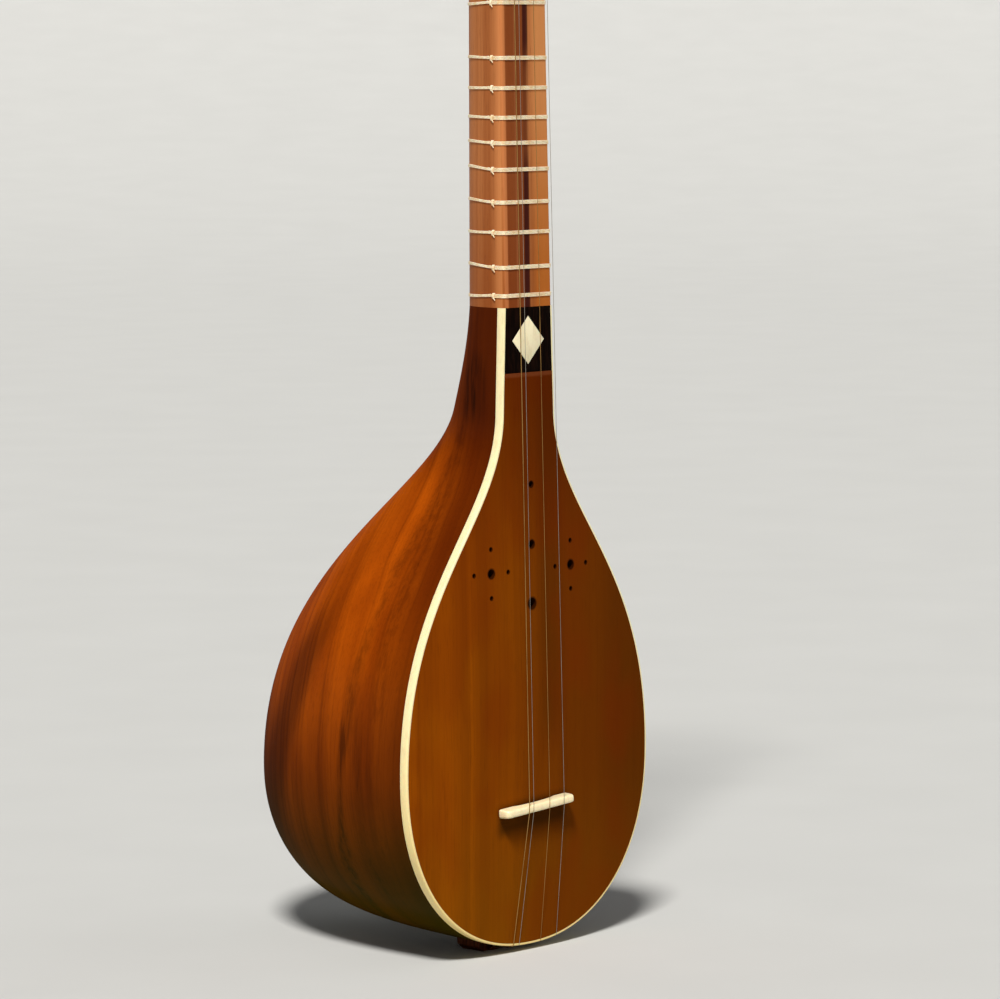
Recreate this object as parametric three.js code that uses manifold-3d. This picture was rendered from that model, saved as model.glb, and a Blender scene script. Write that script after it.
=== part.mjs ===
// A Persian setar: a long-necked lute with a carved pear-shaped bowl, a thin drilled
// soundboard, four fine strings and twenty-five tied gut frets.
// Lengths are in millimetres. Inside the instrument group x runs to the viewer's right as
// the soundboard is seen, y runs back from the soundboard's edge, and z runs up the neck
// from the lowest point of the bowl's front outline.

import * as THREE from "three";
import { mergeVertices } from "three/addons/utils/BufferGeometryUtils.js";
import Module from "manifold-3d";

const wasm = await Module();
wasm.setup();

// Clearances
const glueGap = 0.3; // between two pieces that are glued or rest on each other
const runningGap = 0.25; // round a peg's shaft, measured on the flats of its facets
const overrun = 6; // how far a cutting shape runs past what it cuts

// Bowl, carved from one block
const bowlLength = 284.5; // bottom of the front outline to the neck joint
const bowlWidth = 160.2;
const bowlDepth = 141.7;
const bellyHeight = 82.5; // height of the widest place
const keelHeight = 67.5; // height of the deepest place
const bowlWall = 3.4;
const throatHeight = 239; // where the shoulders have run into the throat
const throatWidth = 34.6;
const throatDepth = 40.7;
const throatSlope = 0.3; // how fast the depth still falls with height at the throat
const jointSlope = 0.05; // the same at the neck joint
const throatBlock = 44; // solid wood under the neck joint that takes the tenon
const tailRise = 4.2; // how much the underside climbs from the front to the back
const rimLip = 5; // width of the front edge that the soundboard is glued to
const rimDepth = 7; // how far back the thick edge goes
const frontRoundPower = 2.19; // superellipse power of the lower front outline
const keelRoundPower = 1.97; // the same for the lower side outline, inner and outer
const keelCornerPower = 5;
const sectionPower = 2.2; // superellipse power of every level section
const shoulderShares = { leave: 0.546, arrive: 0.695 }; // Bezier handles, belly to throat
const keelShares = { leave: 0.602, arrive: 0.773 }; // the same, deepest place to throat
const throatShares = { leave: 1 / 3, arrive: 2 / 3 }; // the same, throat to neck joint

// Soundboard, its edge strip and its inlay
const boardThickness = 2.2;
const boardDome = 1.8;
const bindingWidth = 1; // seen from the front
const bindingDepth = 4.1; // seen from the side
const inlayHeight = 28.6;
const diamondWidth = 21;
const diamondHeight = 21.4;
const diamondDepth = 1.2;

// Sound holes: three down the middle and a cross of five on each side
const middleHoleHeights = [153, 179.4, 206];
const middleHoleSizes = [4.8, 3.6, 2.8];
const crossHeight = 168.2;
const crossSpread = 26.4; // from the centre line to a cross's middle
const crossArm = 10.8;
const crossHole = 4;
const crossArmHole = 1.9;

// Neck, in one piece with the head
const lastFretGap = 5.3; // from the neck joint up to the last fret
const neckSetback = 7; // how far the neck's face lies behind the soundboard's edge at the nut
const neckDepthJoint = 31;
const neckDepthNut = 23.5;
const neckWidthJoint = 31.6;
const neckWidthNut = 26;
const neckEdgeRadius = 1.5;
const tenonLength = 34;
const tenonWidth = 14;
const tenonDepth = 15;
const headLength = 118;
const headWidthEnd = 24.6;
const headDepthEnd = 21.5;
const headBevel = 2.5;

// Bridge, nut and tailpiece
const bridgeHeight = 62.5; // along the soundboard, from the bowl's bottom
const bridgeLength = 45;
const bridgeTall = 6.2;
const bridgeThick = 4.2;
const bridgeCrest = 3.4; // thickness at the crest
const bridgeFoot = 9; // length of each foot
const bridgeArch = 1.5; // height of the hollow between the feet
const bridgeTurn = 3.4; // degrees, turned on the board to tune the octaves
const nutThick = 3;
const nutInset = 2.4;
const nutProud = 2.1;
const notchWidth = 1.4;
const notchDepth = 0.5;
const tailWidth = 42;
const tailFootWidth = 34;
const tailDepth = 12;
const tailSetback = 13; // from the soundboard's edge to the tailpiece's front
const tailStand = 2.8; // below the lowest point of the bowl's front outline
const tailHole = 1.2;

// Strings, from the highest to the bass: bridge, nut and tail places across the board
const stringNames = ["string_1_white", "string_2_yellow", "string_3_white", "string_4_bass"];
const stringAtBridge = [14.5, 4.8, -5.9, -8.8];
const stringAtNut = [10.2, 1.4, -7.4, -10.2];
const stringAtTail = [17.6, 6.9, -7.6, -11.6];
const edgeShare = 0.05; // how far a string has moved towards its bridge place at the lower edge
const stringBodyRadius = 0.3; // one radius for the four solids, so that the finest still shows
const knotRadius = 0.9;
const windingTurns = 3;
const windingPitch = 1.4;

// Frets: cents above the open string, from the nut down
const fretCents = [
  90, 140, 204, 294, 350, 408, 498, 555, 640, 702, 792, 850, 906, 996, 1050,
  1091, 1213, 1283, 1355, 1419, 1489, 1579, 1667, 1774, 1866,
];
const fretWidth = 1.7;
const fretThick = 0.9;
const fretKnotShare = 0.21; // how far down the neck's left side the knot is tied
const fretKnotSize = 1.5;
const fretKnotFlatShare = 0.6;

// Pegs
const pegHeights = [78, 38, 98, 58]; // above the nut, for strings one to four
const pegRadius = 4.3; // where the shaft enters the head
const pegTipRadius = 3.7;
const pegTipProud = 2;
const pegNeckLength = 13; // bare shaft between the head and the knob
const pegKnobLength = 24;
const pegKnobRadius = 10;
const pegFluteDepth = 1.1;
const pegFlutes = 8;
const pegButtonRadius = 3;
const pegButtonLength = 4.5;
const pegButtonSpigot = 3;
const sidePegDepth = 9.5; // from the head's front face to a side peg's axis

// Facets
const quadrantSteps = 10; // of the lower outline
const shoulderSteps = 11;
const throatSteps = 3;
const sectionSteps = 16;
const neckSteps = 12;
const turnedSides = 16;
const holeSides = 10;
const stringSides = 5;
const windingSteps = 10;

// The string length is the one that puts the last fret its gap above the neck joint
const fretShares = fretCents.map((cents) => 2 ** (-cents / 1200));
const stringLength = (bowlLength + lastFretGap - bridgeHeight) / Math.min(...fretShares);
const fretHeights = fretShares.map((share) => bridgeHeight + stringLength * share);
const nutHeight = bridgeHeight + stringLength;
const headTop = nutHeight + headLength;

// Finishes
function finish(color, roughness) {
  return new THREE.MeshStandardMaterial({ color, roughness, metalness: 0 });
}
const mulberry = finish(0x6e2f0e, 0.35);
const boardWood = finish(0x74420f, 0.45);
const walnut = finish(0xa2653c, 0.4);
const ebony = finish(0x120606, 0.4);
const bone = finish(0xf3e2b8, 0.35);
const gut = finish(0xf4d3a2, 0.5);
const pegWood = finish(0x4c2412, 0.35);
const steel = new THREE.MeshStandardMaterial({ color: 0xd8d8d4, roughness: 0.25, metalness: 1 });
const bronze = new THREE.MeshStandardMaterial({ color: 0xc99a4c, roughness: 0.3, metalness: 1 });

// Solids: a closed mesh becomes one to be joined or cut, and then a mesh again
function solidOf(geometry) {
  const bare = geometry.clone();
  bare.deleteAttribute("normal");
  bare.deleteAttribute("uv");
  const merged = mergeVertices(bare, 1e-4);
  const solid = new wasm.Manifold(
    new wasm.Mesh({
      numProp: 3,
      vertProperties: new Float32Array(merged.attributes.position.array),
      triVerts: new Uint32Array(merged.index.array),
    }),
  );
  return solid;
}

function geometryOf(solid) {
  const { numProp, vertProperties, triVerts } = solid.getMesh();
  const places = new Float32Array((vertProperties.length / numProp) * 3);
  for (let i = 0; i * numProp < vertProperties.length; i++) {
    places.set(vertProperties.subarray(i * numProp, i * numProp + 3), i * 3);
  }
  const geometry = new THREE.BufferGeometry();
  geometry.setAttribute("position", new THREE.BufferAttribute(places, 3));
  geometry.setIndex(new THREE.BufferAttribute(new Uint32Array(triVerts), 1));
  geometry.computeVertexNormals();
  return geometry;
}

function cut(body, ...tools) {
  return tools.reduce((left, tool) => left.subtract(tool), body);
}

function join(body, ...others) {
  return others.reduce((sum, other) => sum.add(other), body);
}

// Twice the area of a loop, as a vector along its normal
function loopNormal(loop) {
  const normal = new THREE.Vector3();
  loop.forEach((point, i) => {
    normal.add(new THREE.Vector3().crossVectors(point, loop[(i + 1) % loop.length]));
  });
  return normal;
}

function flatten(loop) {
  const normal = loopNormal(loop);
  const [ax, ay, az] = normal.toArray().map(Math.abs);
  if (ax >= ay && ax >= az) return loop.map((p) => new THREE.Vector2(p.y, p.z));
  if (ay >= az) return loop.map((p) => new THREE.Vector2(p.z, p.x));
  return loop.map((p) => new THREE.Vector2(p.x, p.y));
}

function signedVolume(places, faces) {
  let sum = 0;
  for (let i = 0; i < faces.length; i += 3) {
    const [a, b, c] = [0, 1, 2].map((k) => places[faces[i + k]]);
    sum += a.dot(new THREE.Vector3().crossVectors(b, c));
  }
  return sum;
}

// A closed body through rings of equally many points, capped at both ends or run round
function loft(rings, closed = false) {
  const count = rings[0].length;
  const places = rings.flat();
  const faces = [];
  const spans = closed ? rings.length : rings.length - 1;
  for (let i = 0; i < spans; i++) {
    const here = i * count;
    const next = ((i + 1) % rings.length) * count;
    for (let j = 0; j < count; j++) {
      const k = (j + 1) % count;
      faces.push(here + j, here + k, next + k, here + j, next + k, next + j);
    }
  }
  if (!closed) {
    const last = (rings.length - 1) * count;
    const lid = (ring) => THREE.ShapeUtils.triangulateShape(flatten(ring), []);
    const outward = loopNormal(rings[0]);
    for (const [start, flip] of [[0, true], [last, false]]) {
      for (const face of lid(rings[start / count])) {
        const corners = face.map((k) => start + k);
        const facing = loopNormal(corners.map((k) => places[k])).dot(outward) < 0;
        faces.push(...(facing === flip ? corners : corners.reverse()));
      }
    }
  }
  if (signedVolume(places, faces) < 0) faces.reverse();
  const geometry = new THREE.BufferGeometry().setFromPoints(places);
  geometry.setIndex(faces);
  return solidOf(geometry);
}

// A plate between two depths, its outline given as [x, z] points
function plate(outline, front, back) {
  return loft([front, back].map((y) => outline.map(([x, z]) => new THREE.Vector3(x, y, z))));
}

function block(x0, x1, y0, y1, z0, z1) {
  return plate([[x0, z0], [x1, z0], [x1, z1], [x0, z1]], y0, y1);
}

// A tapered round rod of flat sides between two points
function rod(from, to, startRadius, endRadius, sides) {
  const along = new THREE.Vector3().subVectors(to, from).normalize();
  const turn = new THREE.Quaternion().setFromUnitVectors(new THREE.Vector3(0, 0, 1), along);
  const ring = (centre, radius) => {
    const points = [];
    for (let i = 0; i < sides; i++) {
      const angle = (2 * Math.PI * i) / sides;
      const spoke = new THREE.Vector3(radius * Math.cos(angle), radius * Math.sin(angle), 0);
      points.push(spoke.applyQuaternion(turn).add(centre));
    }
    return points;
  };
  return loft([ring(from, startRadius), ring(to, endRadius)]);
}

const acrossFlats = (sides) => Math.cos(Math.PI / sides);
const mix = (from, to, share) => from + (to - from) * share;

// A cubic Bezier between two [height, value] points, sampled finely. The slopes say how fast
// the value falls with height at its two ends
function easeCurve(start, end, shares, slopes) {
  const leave = mix(start[0], end[0], shares.leave);
  const arrive = mix(start[0], end[0], shares.arrive);
  const curve = new THREE.CubicBezierCurve(
    new THREE.Vector2(...start),
    new THREE.Vector2(leave, start[1] - slopes[0] * (leave - start[0])),
    new THREE.Vector2(arrive, end[1] + slopes[1] * (end[0] - arrive)),
    new THREE.Vector2(...end),
  );
  return curve.getPoints(fineSteps);
}

function lookUp(points, height) {
  const i = points.findIndex((point) => point.x >= height);
  if (i <= 0) return points[i === 0 ? 0 : points.length - 1].y;
  const [a, b] = [points[i - 1], points[i]];
  return mix(a.y, b.y, (height - a.x) / (b.x - a.x));
}

const fineSteps = 200;
const shoulderCurve = easeCurve(
  [bellyHeight, bowlWidth / 2], [throatHeight, throatWidth / 2], shoulderShares, [0, 0],
);
const keelCurve = easeCurve(
  [keelHeight, bowlDepth], [throatHeight, throatDepth], keelShares, [0, throatSlope],
);
const throatCurve = easeCurve(
  [throatHeight, throatDepth], [bowlLength, neckDepthJoint], throatShares,
  [throatSlope, jointSlope],
);

// Half the width of the bowl's front outline at a height, moved inwards by an inset
function halfWidth(height, inset = 0) {
  if (height >= throatHeight) {
    const share = (height - throatHeight) / (bowlLength - throatHeight);
    return mix(throatWidth, neckWidthJoint, share) / 2 - inset;
  }
  if (height >= bellyHeight) return lookUp(shoulderCurve, height) - inset;
  const drop = (bellyHeight - height) / (bellyHeight - inset);
  return (bowlWidth / 2 - inset) * (1 - drop ** frontRoundPower) ** (1 / frontRoundPower);
}

// Depth of the bowl's level section at a height, moved inwards by an inset
function sectionDepth(height, inset = 0) {
  if (height >= throatHeight) return lookUp(throatCurve, height) - inset;
  if (height >= keelHeight) return lookUp(keelCurve, height) - inset;
  const drop = (keelHeight - height) / (keelHeight - inset);
  return (bowlDepth - inset) * (1 - drop ** keelRoundPower) ** (1 / keelCornerPower);
}

const lowestShare = 0.15; // of the second ring's height, for the ring at the very bottom

// Heights of the bowl's rings, close together where the outline turns
function bowlHeights() {
  const heights = [];
  for (let i = 1; i <= quadrantSteps; i++) {
    const angle = ((Math.PI / 2) * i) / quadrantSteps;
    heights.push(bellyHeight * (1 - Math.cos(angle) ** (2 / frontRoundPower)));
  }
  for (let i = 1; i <= shoulderSteps; i++) {
    heights.push(mix(bellyHeight, throatHeight, i / shoulderSteps));
  }
  for (let i = 1; i < throatSteps; i++) {
    heights.push(mix(throatHeight, bowlLength, i / throatSteps));
  }
  heights.push(bowlLength);
  return [heights[0] * lowestShare, ...heights];
}

// Half a superellipse from the right edge round the back to the left edge, as [x, y] points
function backArc(half, depth, steps) {
  const points = [];
  for (let j = 0; j <= steps; j++) {
    const angle = (Math.PI * j) / steps;
    const across = Math.abs(Math.cos(angle)) ** (2 / sectionPower);
    const x = half * Math.sign(Math.cos(angle)) * across;
    points.push([x, j % steps ? depth * Math.sin(angle) ** (2 / sectionPower) : 0]);
  }
  return points;
}

// A ring of the bowl: it tips back near the bottom, so that the underside climbs
function bowlRing(height, inset) {
  const half = halfWidth(height, inset);
  const depth = sectionDepth(height, inset);
  const lean = (tailRise / bowlDepth) * Math.max(0, 1 - height / bellyHeight);
  return backArc(half, depth, sectionSteps).map(
    ([x, y]) => new THREE.Vector3(x, y, height + lean * y),
  );
}

const bowlOutside = loft(bowlHeights().map((height) => bowlRing(height, 0)));

// The front outline from the left end of the joint down and round to the right end, moved
// inwards by an inset, as [x, z] points
function frontOutline(inset, top = bowlLength) {
  const heights = bowlHeights().slice(1).filter((height) => height < top);
  const right = [[0, 0], ...heights.map((z) => [halfWidth(z), z]), [halfWidth(top), top]];
  const moved = right.map(([x, z], i) => {
    const [x0, z0] = right[Math.max(i - 1, 0)];
    const [x1, z1] = right[Math.min(i + 1, right.length - 1)];
    if (i === 0) return [0, inset];
    const length = Math.hypot(x1 - x0, z1 - z0);
    const level = i === right.length - 1 ? z : z + (inset * (x1 - x0)) / length;
    return [x - (inset * (z1 - z0)) / length, level];
  });
  const left = moved.slice(1).map(([x, z]) => [-x, z]).reverse();
  return [...left, ...moved];
}

const boardBack = boardThickness + glueGap;

function tenon(grow) {
  return block(
    -tenonWidth / 2 - grow, tenonWidth / 2 + grow,
    (neckDepthJoint - tenonDepth) / 2 - grow, (neckDepthJoint + tenonDepth) / 2 + grow,
    bowlLength - tenonLength - grow, bowlLength + overrun,
  );
}

// The bowl is hollow behind its thick front edge, and solid in the throat
function makeBowl() {
  const hollowTop = bowlLength - throatBlock;
  const above = bowlLength + overrun;
  const count = quadrantSteps + shoulderSteps;
  const rings = [];
  for (let i = 1; i <= count; i++) {
    const height = mix(bowlWall, hollowTop, (1 - Math.cos((Math.PI * i) / count)) / 2);
    rings.push(bowlRing(height, bowlWall));
  }
  const edge = block(-bowlWidth, bowlWidth, -overrun, rimDepth, -overrun, above);
  const hollow = cut(loft(rings), edge);
  const mouthOutline = frontOutline(bindingWidth + rimLip, hollowTop - overrun);
  const mouth = plate(mouthOutline, -overrun, rimDepth + overrun);
  const rebateOuter = frontOutline(-overrun);
  const rebateInner = frontOutline(bindingWidth + glueGap).reverse();
  const rebate = plate(
    [
      ...rebateOuter,
      [rebateOuter[rebateOuter.length - 1][0], above],
      [rebateInner[0][0], above],
      ...rebateInner,
      [rebateInner[rebateInner.length - 1][0], above],
      [rebateOuter[0][0], above],
    ],
    -overrun, bindingDepth + glueGap,
  );
  const boardSeat = block(-bowlWidth, bowlWidth, -overrun, boardBack, -overrun, above);
  return cut(bowlOutside, hollow, mouth, rebate, boardSeat, tenon(glueGap));
}

const bindingChamfer = bindingWidth / 3;

function makeBinding() {
  const strip = (outer, inner) => [...frontOutline(outer), ...frontOutline(inner).reverse()];
  const rings = [
    [strip(bindingChamfer, bindingWidth), 0],
    [strip(0, bindingWidth), bindingChamfer],
    [strip(0, bindingWidth), bindingDepth],
  ];
  return loft(rings.map(([outline, y]) => outline.map(([x, z]) => new THREE.Vector3(x, y, z))));
}

// How far the soundboard stands in front of its edge plane
function domeAt(x, height) {
  const across = 1 - Math.min(1, Math.abs(x) / halfWidth(height)) ** 2;
  const up = Math.sin((Math.PI * Math.min(height, bowlLength)) / bowlLength);
  return boardDome * across * up;
}

const boardInset = bindingWidth + glueGap / 2;
const inlayBase = bowlLength - glueGap - inlayHeight;

function makeSoundboard() {
  const columns = 8;
  const top = inlayBase - glueGap;
  const outline = frontOutline(boardInset, top);
  const right = outline.slice((outline.length - 1) / 2 + 1);
  const slab = right.map(([half, height]) => {
    const ring = [];
    for (const [side, back] of [[1, 0], [-1, boardThickness]]) {
      for (let i = 0; i <= columns; i++) {
        const x = side * half * mix(-1, 1, i / columns);
        ring.push(new THREE.Vector3(x, back - domeAt(x, height), height));
      }
    }
    return ring;
  });
  const [, lowest] = outline[(outline.length - 1) / 2];
  const tipShare = 0.1;
  const tip = slab[0].map(
    (p) => new THREE.Vector3(p.x * tipShare, p.y, mix(lowest, p.z, tipShare)),
  );
  return cut(loft([tip, ...slab]), ...soundHoles());
}

function soundHoles() {
  const drill = (x, z, size) =>
    rod(
      new THREE.Vector3(x, -overrun, z),
      new THREE.Vector3(x, overrun, z),
      size / 2, size / 2, holeSides,
    );
  const holes = middleHoleHeights.map((z, i) => drill(0, z, middleHoleSizes[i]));
  for (const side of [-1, 1]) {
    holes.push(drill(side * crossSpread, crossHeight, crossHole));
    for (const [x, z] of [[crossArm, 0], [-crossArm, 0], [0, crossArm], [0, -crossArm]]) {
      holes.push(drill(side * crossSpread + x, crossHeight + z, crossArmHole));
    }
  }
  return holes;
}

const inlayMiddle = inlayBase + inlayHeight / 2;

function diamondOutline(grow) {
  const [x, z] = [diamondWidth / 2 + grow, diamondHeight / 2 + grow];
  return [[x, inlayMiddle], [0, inlayMiddle + z], [-x, inlayMiddle], [0, inlayMiddle - z]];
}

function makeInlayPlate() {
  const top = inlayBase + inlayHeight;
  const [low, high] = [inlayBase, top].map((z) => halfWidth(z) - boardInset);
  const outline = [[low, inlayBase], [high, top], [-high, top], [-low, inlayBase]];
  const pocketGap = glueGap / 2;
  const pocket = plate(diamondOutline(pocketGap), -overrun, diamondDepth + glueGap);
  return cut(plate(outline, 0, boardThickness), pocket);
}

function makeDiamond() {
  return plate(diamondOutline(0), 0, diamondDepth);
}

// Half the neck's width, its depth, and how far back its face lies, at a height
function neckSizes(height) {
  const rise = (height - bowlLength) / (nutHeight - bowlLength);
  const face = neckSetback * rise;
  if (height <= nutHeight) {
    return {
      half: mix(neckWidthJoint, neckWidthNut, rise) / 2,
      depth: mix(neckDepthJoint, neckDepthNut, rise),
      face,
    };
  }
  const share = (height - nutHeight) / headLength;
  return {
    half: mix(neckWidthNut, headWidthEnd, share) / 2,
    depth: mix(neckDepthNut, headDepthEnd, share),
    face,
  };
}

// The neck's D section at a height: flat in front, its two front edges rounded over
function neckRing(height, grow = 0, level = height) {
  const { half, depth, face } = neckSizes(height);
  const back = backArc(half + grow, depth + grow, neckSteps).slice(1, -1);
  const edge = Math.max(neckEdgeRadius + grow, neckEdgeRadius / 4);
  const corner = (side) =>
    [0, 1, 2].map((i) => {
      const angle = (Math.PI / 4) * i;
      const x = half + grow - edge * (1 - Math.cos(angle));
      return [side * x, edge * (1 - Math.sin(angle)) - grow];
    });
  const ring = [...corner(-1), ...corner(1).reverse(), ...back];
  return ring.map(([x, y]) => new THREE.Vector3(x, face + y, level));
}

const neckBase = bowlLength + glueGap;

function makeNeck() {
  const shaft = loft([
    neckRing(neckBase), neckRing(nutHeight), neckRing(headTop - headBevel),
    neckRing(headTop, -headBevel),
  ]);
  const nutSlot = block(
    -neckWidthJoint, neckWidthJoint, neckSetback - overrun, neckSetback + nutInset + glueGap,
    nutHeight - glueGap, nutHeight + nutThick + glueGap,
  );
  const holes = pegPlaces.map(({ root, out }) => {
    const through = neckDepthNut + neckWidthNut;
    const bore = (travel) => {
      const slope = (pegTipRadius - pegRadius) / pegThrough;
      const radius = pegRadius + slope * travel + runningGap;
      return [root.clone().addScaledVector(out, -travel), radius / acrossFlats(turnedSides)];
    };
    const [from, startRadius] = bore(-overrun);
    const [to, endRadius] = bore(Math.min(through, pegThrough + overrun));
    return rod(from, to, startRadius, endRadius, turnedSides);
  });
  return cut(join(shaft, tenon(0)), nutSlot, ...holes);
}

// Pegs one and two stand in the head's front, three and four in its left side
const pegThrough = neckDepthNut + pegTipProud;
const pegPlaces = pegHeights.map((rise, i) => {
  const height = nutHeight + rise;
  const { half, face } = neckSizes(height);
  if (i < 2) return { root: new THREE.Vector3(0, face, height), out: new THREE.Vector3(0, -1, 0) };
  const root = new THREE.Vector3(-half, face + sidePegDepth, height);
  return { root, out: new THREE.Vector3(-1, 0, 0) };
});

// Points of a ring round a peg's axis; odd points lie in the flutes
function pegRing({ root, out }, travel, radius, flute = 0) {
  const side = new THREE.Vector3(0, 0, 1);
  const across = new THREE.Vector3().crossVectors(out, side);
  const points = [];
  for (let i = 0; i < 2 * pegFlutes; i++) {
    const angle = (Math.PI * i) / pegFlutes;
    const reach = i % 2 ? radius - flute : radius;
    points.push(
      root.clone()
        .addScaledVector(out, travel)
        .addScaledVector(side, reach * Math.cos(angle))
        .addScaledVector(across, reach * Math.sin(angle)),
    );
  }
  return points;
}

// Shares of the knob's length and radius, from the shaft out, and how deep the flutes are
const knobShares = [
  [0, 0.55, 0],
  [0.1, 0.62, 0],
  [0.18, 0.42, 0],
  [0.4, 0.72, 0.5],
  [0.66, 1, 1],
  [0.84, 0.94, 1],
  [0.95, 0.6, 0],
  [1, 0.45, 0],
];

function makePeg(place, reach) {
  const rings = [
    pegRing(place, -reach, pegTipRadius),
    pegRing(place, 0, pegRadius),
    pegRing(place, pegNeckLength, pegRadius),
    ...knobShares.map(([along, wide, flute]) =>
      pegRing(
        place,
        pegNeckLength + glueGap + pegKnobLength * along,
        pegKnobRadius * wide,
        pegFluteDepth * flute,
      ),
    ),
  ];
  const end = pegNeckLength + glueGap + pegKnobLength;
  const socket = loft([
    pegRing(place, end - pegButtonSpigot - glueGap, pegButtonRadius / 2 + glueGap),
    pegRing(place, end + overrun, pegButtonRadius / 2 + glueGap),
  ]);
  return cut(loft(rings), socket);
}

// Shares of the button's length and radius, from the knob out
const buttonShares = [[0, 0.5], [0, 1], [0.25, 1], [0.5, 0.7], [1, 0.25]];

function makeButton(place) {
  const seat = pegNeckLength + glueGap + pegKnobLength + glueGap;
  const at = (travel, share) => pegRing(place, seat + travel, pegButtonRadius * share);
  const rings = buttonShares.map(([along, wide]) => at(pegButtonLength * along, wide));
  return loft([at(-pegButtonSpigot, buttonShares[0][1]), ...rings]);
}

// A fret is a flat band of gut wound round the neck, with its knot on the left side
function makeFret(height) {
  const inner = glueGap;
  const outer = glueGap + fretThick;
  const band = loft(
    [
      neckRing(height, inner, height - fretWidth / 2),
      neckRing(height, inner, height + fretWidth / 2),
      neckRing(height, outer, height + fretWidth / 4),
      neckRing(height, outer, height - fretWidth / 4),
    ],
    true,
  );
  const { half, depth, face } = neckSizes(height);
  const down = face + depth * fretKnotShare;
  const side = half * (1 - fretKnotShare ** sectionPower) ** (1 / sectionPower);
  const knot = new THREE.SphereGeometry(fretKnotSize, 6, 4);
  knot.scale(fretKnotFlatShare, 1, 1);
  knot.translate(-side - outer, down, height);
  return join(band, solidOf(knot));
}

// Bridge: a low bar on two feet, thinner at its crest, notched for the strings
const bridgeSeat = domeAt(0, bridgeHeight) + glueGap;
const bridgeFront = bridgeSeat + bridgeTall;

function makeBridge() {
  const half = bridgeLength / 2;
  const round = bridgeTall / 3;
  const frontView = [
    [-half, 0], [-half + bridgeFoot, 0], [-half + bridgeFoot + round, bridgeArch],
    [half - bridgeFoot - round, bridgeArch], [half - bridgeFoot, 0], [half, 0],
    [half, bridgeTall - round], [half - round, bridgeTall],
    [-half + round, bridgeTall], [-half, bridgeTall - round],
  ];
  const face = (side) =>
    frontView.map(([x, tall]) => {
      const thick = mix(bridgeThick, bridgeCrest, tall / bridgeTall);
      return new THREE.Vector3(x, -bridgeSeat - tall, bridgeHeight + (side * thick) / 2);
    });
  const turn = (bridgeTurn * Math.PI) / 180;
  const middle = new THREE.Matrix4().makeTranslation(0, 0, bridgeHeight);
  const back = new THREE.Matrix4().makeTranslation(0, 0, -bridgeHeight);
  const place = middle.multiply(new THREE.Matrix4().makeRotationY(-turn)).multiply(back);
  const rings = [face(-1), face(1)].map((ring) => ring.map((p) => p.applyMatrix4(place)));
  const notches = stringAtBridge.map((x) =>
    block(
      x - notchWidth / 2, x + notchWidth / 2, -bridgeFront - overrun, -bridgeFront + notchDepth,
      bridgeHeight - bridgeLength / 2, bridgeHeight + bridgeLength / 2,
    ),
  );
  return cut(loft(rings), ...notches);
}

function makeNut() {
  const half = neckSizes(nutHeight + nutThick).half;
  const front = neckSetback - nutProud;
  const body = block(-half, half, front, neckSetback + nutInset, nutHeight, nutHeight + nutThick);
  const notches = stringAtNut.map((x) =>
    block(
      x - notchWidth / 2, x + notchWidth / 2, front - overrun, front + notchDepth,
      nutHeight - overrun, nutHeight + nutThick + overrun,
    ),
  );
  return cut(body, ...notches);
}

// The tailpiece is shaped to the bowl's bottom and stands flat below it
function makeTailpiece() {
  const [half, foot] = [tailWidth / 2, tailFootWidth / 2];
  const outline = [[-foot, -tailStand], [foot, -tailStand], [half, 0], [half, tailStand],
    [-half, tailStand], [-half, 0]];
  const body = plate(outline, tailSetback, tailSetback + tailDepth);
  const holes = stringAtTail.map((x) =>
    rod(
      new THREE.Vector3(x, tailSetback - overrun, tailHoleHeight),
      new THREE.Vector3(x, tailSetback + tailDepth + overrun, tailHoleHeight),
      tailHole / 2, tailHole / 2, holeSides,
    ),
  );
  return cut(body, bowlOutside.translate([0, 0, -glueGap]), ...holes);
}

const tailHoleHeight = -tailStand / 2;

// A string's route as points: knot, tailpiece, lower edge, bridge, nut, peg and winding
function tangentAngle(from, centre, radius, sense) {
  const [dx, dy] = [from.x - centre.x, from.y - centre.y];
  return Math.atan2(dy, dx) + sense * Math.acos(radius / Math.hypot(dx, dy));
}

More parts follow.
